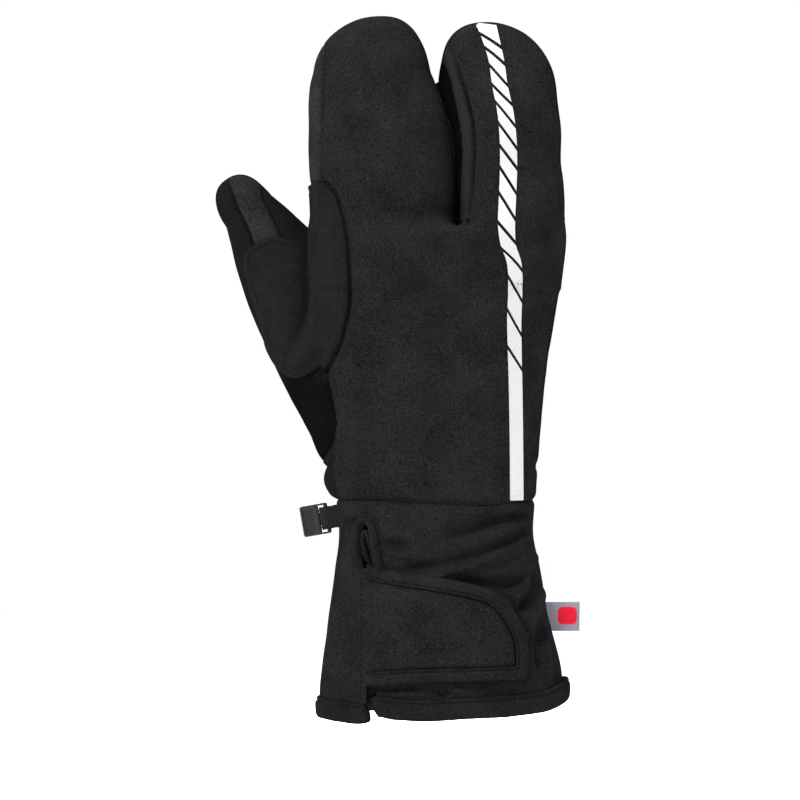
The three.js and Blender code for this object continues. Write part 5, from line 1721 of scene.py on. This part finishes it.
# %% Tape, plastic, webbing and label
reflective_material, tree, place, _ = start_material("reflective tape")
bead = speckle(tree, place, 0.25, 1.0, 0.5)
finish_material(tree, {
    "Base Color": bead.within(0.2, 0.8).blend(grey(0.115), grey(0.13)),
    "Roughness": 0.45,
    "Specular IOR Level": 0.15,
}, bead, 0.04)
plastic_material, tree, place, _ = start_material("moulded plastic")
grain = speckle(tree, place, 0.4, 2.0, 0.5)
finish_material(tree, {
    "Base Color": grey(0.003),
    "Roughness": 0.33 + 0.12 * grain,
    "Specular IOR Level": 0.1,
}, grain, 0.03)
webbing_material, tree, place, (x, _, z) = start_material("ribbed webbing")
pick = ((x * 0.985 - z * 0.174) * (2 * math.pi / 0.8)).wave()
fibre = speckle(tree, place, 0.3, 2.0, 0.6)
finish_material(tree, {
    "Base Color": (pick * 0.3 + fibre).within(0.2, 0.9).blend(grey(0.002), grey(0.007)),
    "Roughness": 0.7,
    "Specular IOR Level": 0.0,
}, pick * 0.6 + fibre * 0.3, 0.12)
RED_PATCH = {"x": 50.2, "z": 42.2, "half_x": 3.9, "half_z": 3.6}
label_material, tree, place, (x, _, z) = start_material("woven label")
weave = speckle(tree, place, 0.35, 2.0, 0.6)
across = (x - RED_PATCH["x"]).without_sign() / RED_PATCH["half_x"]
upward = (z - RED_PATCH["z"]).without_sign() / RED_PATCH["half_z"]
outside = (across**4 + upward**4).within(0.8, 1.2)
ground = weave.within(0.2, 0.8).blend((0.05, 0.046, 0.056, 1), (0.075, 0.07, 0.085, 1))
finish_material(tree, {
    "Base Color": outside.blend((0.16, 0.004, 0.01, 1), ground),
    "Roughness": 0.8,
    "Specular IOR Level": 0.0,
}, weave, 0.08)

LATER_CLOTH = {
    "tab_cloth": softshell, "tab_edge": softshell, "slit_strip": softshell, "keyhole_roll": softshell,
    "inner_flap": palm_cloth, "palm_suede": suede, "thumb_suede": crotch_shaded_suede,
    "wrist_clip": plastic_material, "webbing_loop": webbing_material, "woven_label": label_material,
}
for name, piece in made_pieces.items():
    if name in LATER_CLOTH:
        piece.data.materials.append(LATER_CLOTH[name])
    if name.startswith("stitch"):
        piece.data.materials.append(thread)
    if name.startswith("tape"):
        piece.data.materials.append(reflective_material)
print("pieces dressed:", len(made_pieces))

# %% [markdown]
# The camera stands where the photographer's did, straight in front of the back of the hand. The
# light is a soft studio set: a large key from the upper left, a weaker fill on each side, one light
# behind, one above, and a white room round it all.

# %% Camera, floor and lights
PIXEL = 0.404
PHOTO_SIDE = 800
PHOTO_ORIGIN = (443, 720)
CAMERA_AWAY = 1.6
FLOOR_Z = -0.12
camera_data = bpy.data.cameras.new("camera")
camera_data.sensor_width = 36
camera_data.lens = camera_data.sensor_width * CAMERA_AWAY / (PHOTO_SIDE * PIXEL * MM)
camera = bpy.data.objects.new("camera", camera_data)
camera.location = (
    (PHOTO_SIDE / 2 - PHOTO_ORIGIN[0]) * PIXEL * MM,
    -CAMERA_AWAY,
    (PHOTO_ORIGIN[1] - PHOTO_SIDE / 2) * PIXEL * MM,
)
camera.rotation_euler = (math.radians(90), 0, 0)
bpy.context.scene.collection.objects.link(camera)
bpy.context.scene.camera = camera

world = bpy.data.worlds.new("white room")
world.use_nodes = True
world.node_tree.nodes["Background"].inputs["Color"].default_value = (1, 1, 1, 1)
world.node_tree.nodes["Background"].inputs["Strength"].default_value = 1.0
bpy.context.scene.world = world

floor_mesh = bpy.data.meshes.new("floor")
floor_corners = [(-3, -2.4, FLOOR_Z), (3, -2.4, FLOOR_Z), (3, 3, FLOOR_Z), (-3, 3, FLOOR_Z)]
floor_mesh.from_pydata(floor_corners, [], [(0, 1, 2, 3)])
floor = bpy.data.objects.new("floor", floor_mesh)
bpy.context.scene.collection.objects.link(floor)
floor_paint, floor_tree, _, _ = start_material("pale floor")
finish_material(floor_tree, {"Base Color": (0.93, 0.93, 0.93, 1), "Roughness": 0.7})
floor_mesh.materials.append(floor_paint)

LIGHT_AIM = Vector((-0.01, 0, 0.13))
LIGHTS = (
    {"name": "key", "at": (-0.7, -0.9, 1.25), "size": 0.5, "watts": 98},
    {"name": "left fill", "at": (-1.3, -0.55, 0.35), "size": 1.0, "watts": 42},
    {"name": "right fill", "at": (1.3, -0.45, 0.4), "size": 1.0, "watts": 46},
    {"name": "back", "at": (-0.2, 1.4, 0.6), "size": 1.2, "watts": 90},
    {"name": "top", "at": (0.15, 0.1, 1.3), "size": 0.8, "watts": 60},
)
for row in LIGHTS:
    data = bpy.data.lights.new(row["name"], "AREA")
    data.size = row["size"]
    data.energy = row["watts"]
    light = bpy.data.objects.new(row["name"], data)
    light.location = row["at"]
    aim = LIGHT_AIM - light.location
    light.rotation_euler = aim.to_track_quat("-Z", "Y").to_euler()
    bpy.context.scene.collection.objects.link(light)
bpy.context.scene.view_settings.view_transform = "Standard"
print("lights:", [row["name"] for row in LIGHTS])
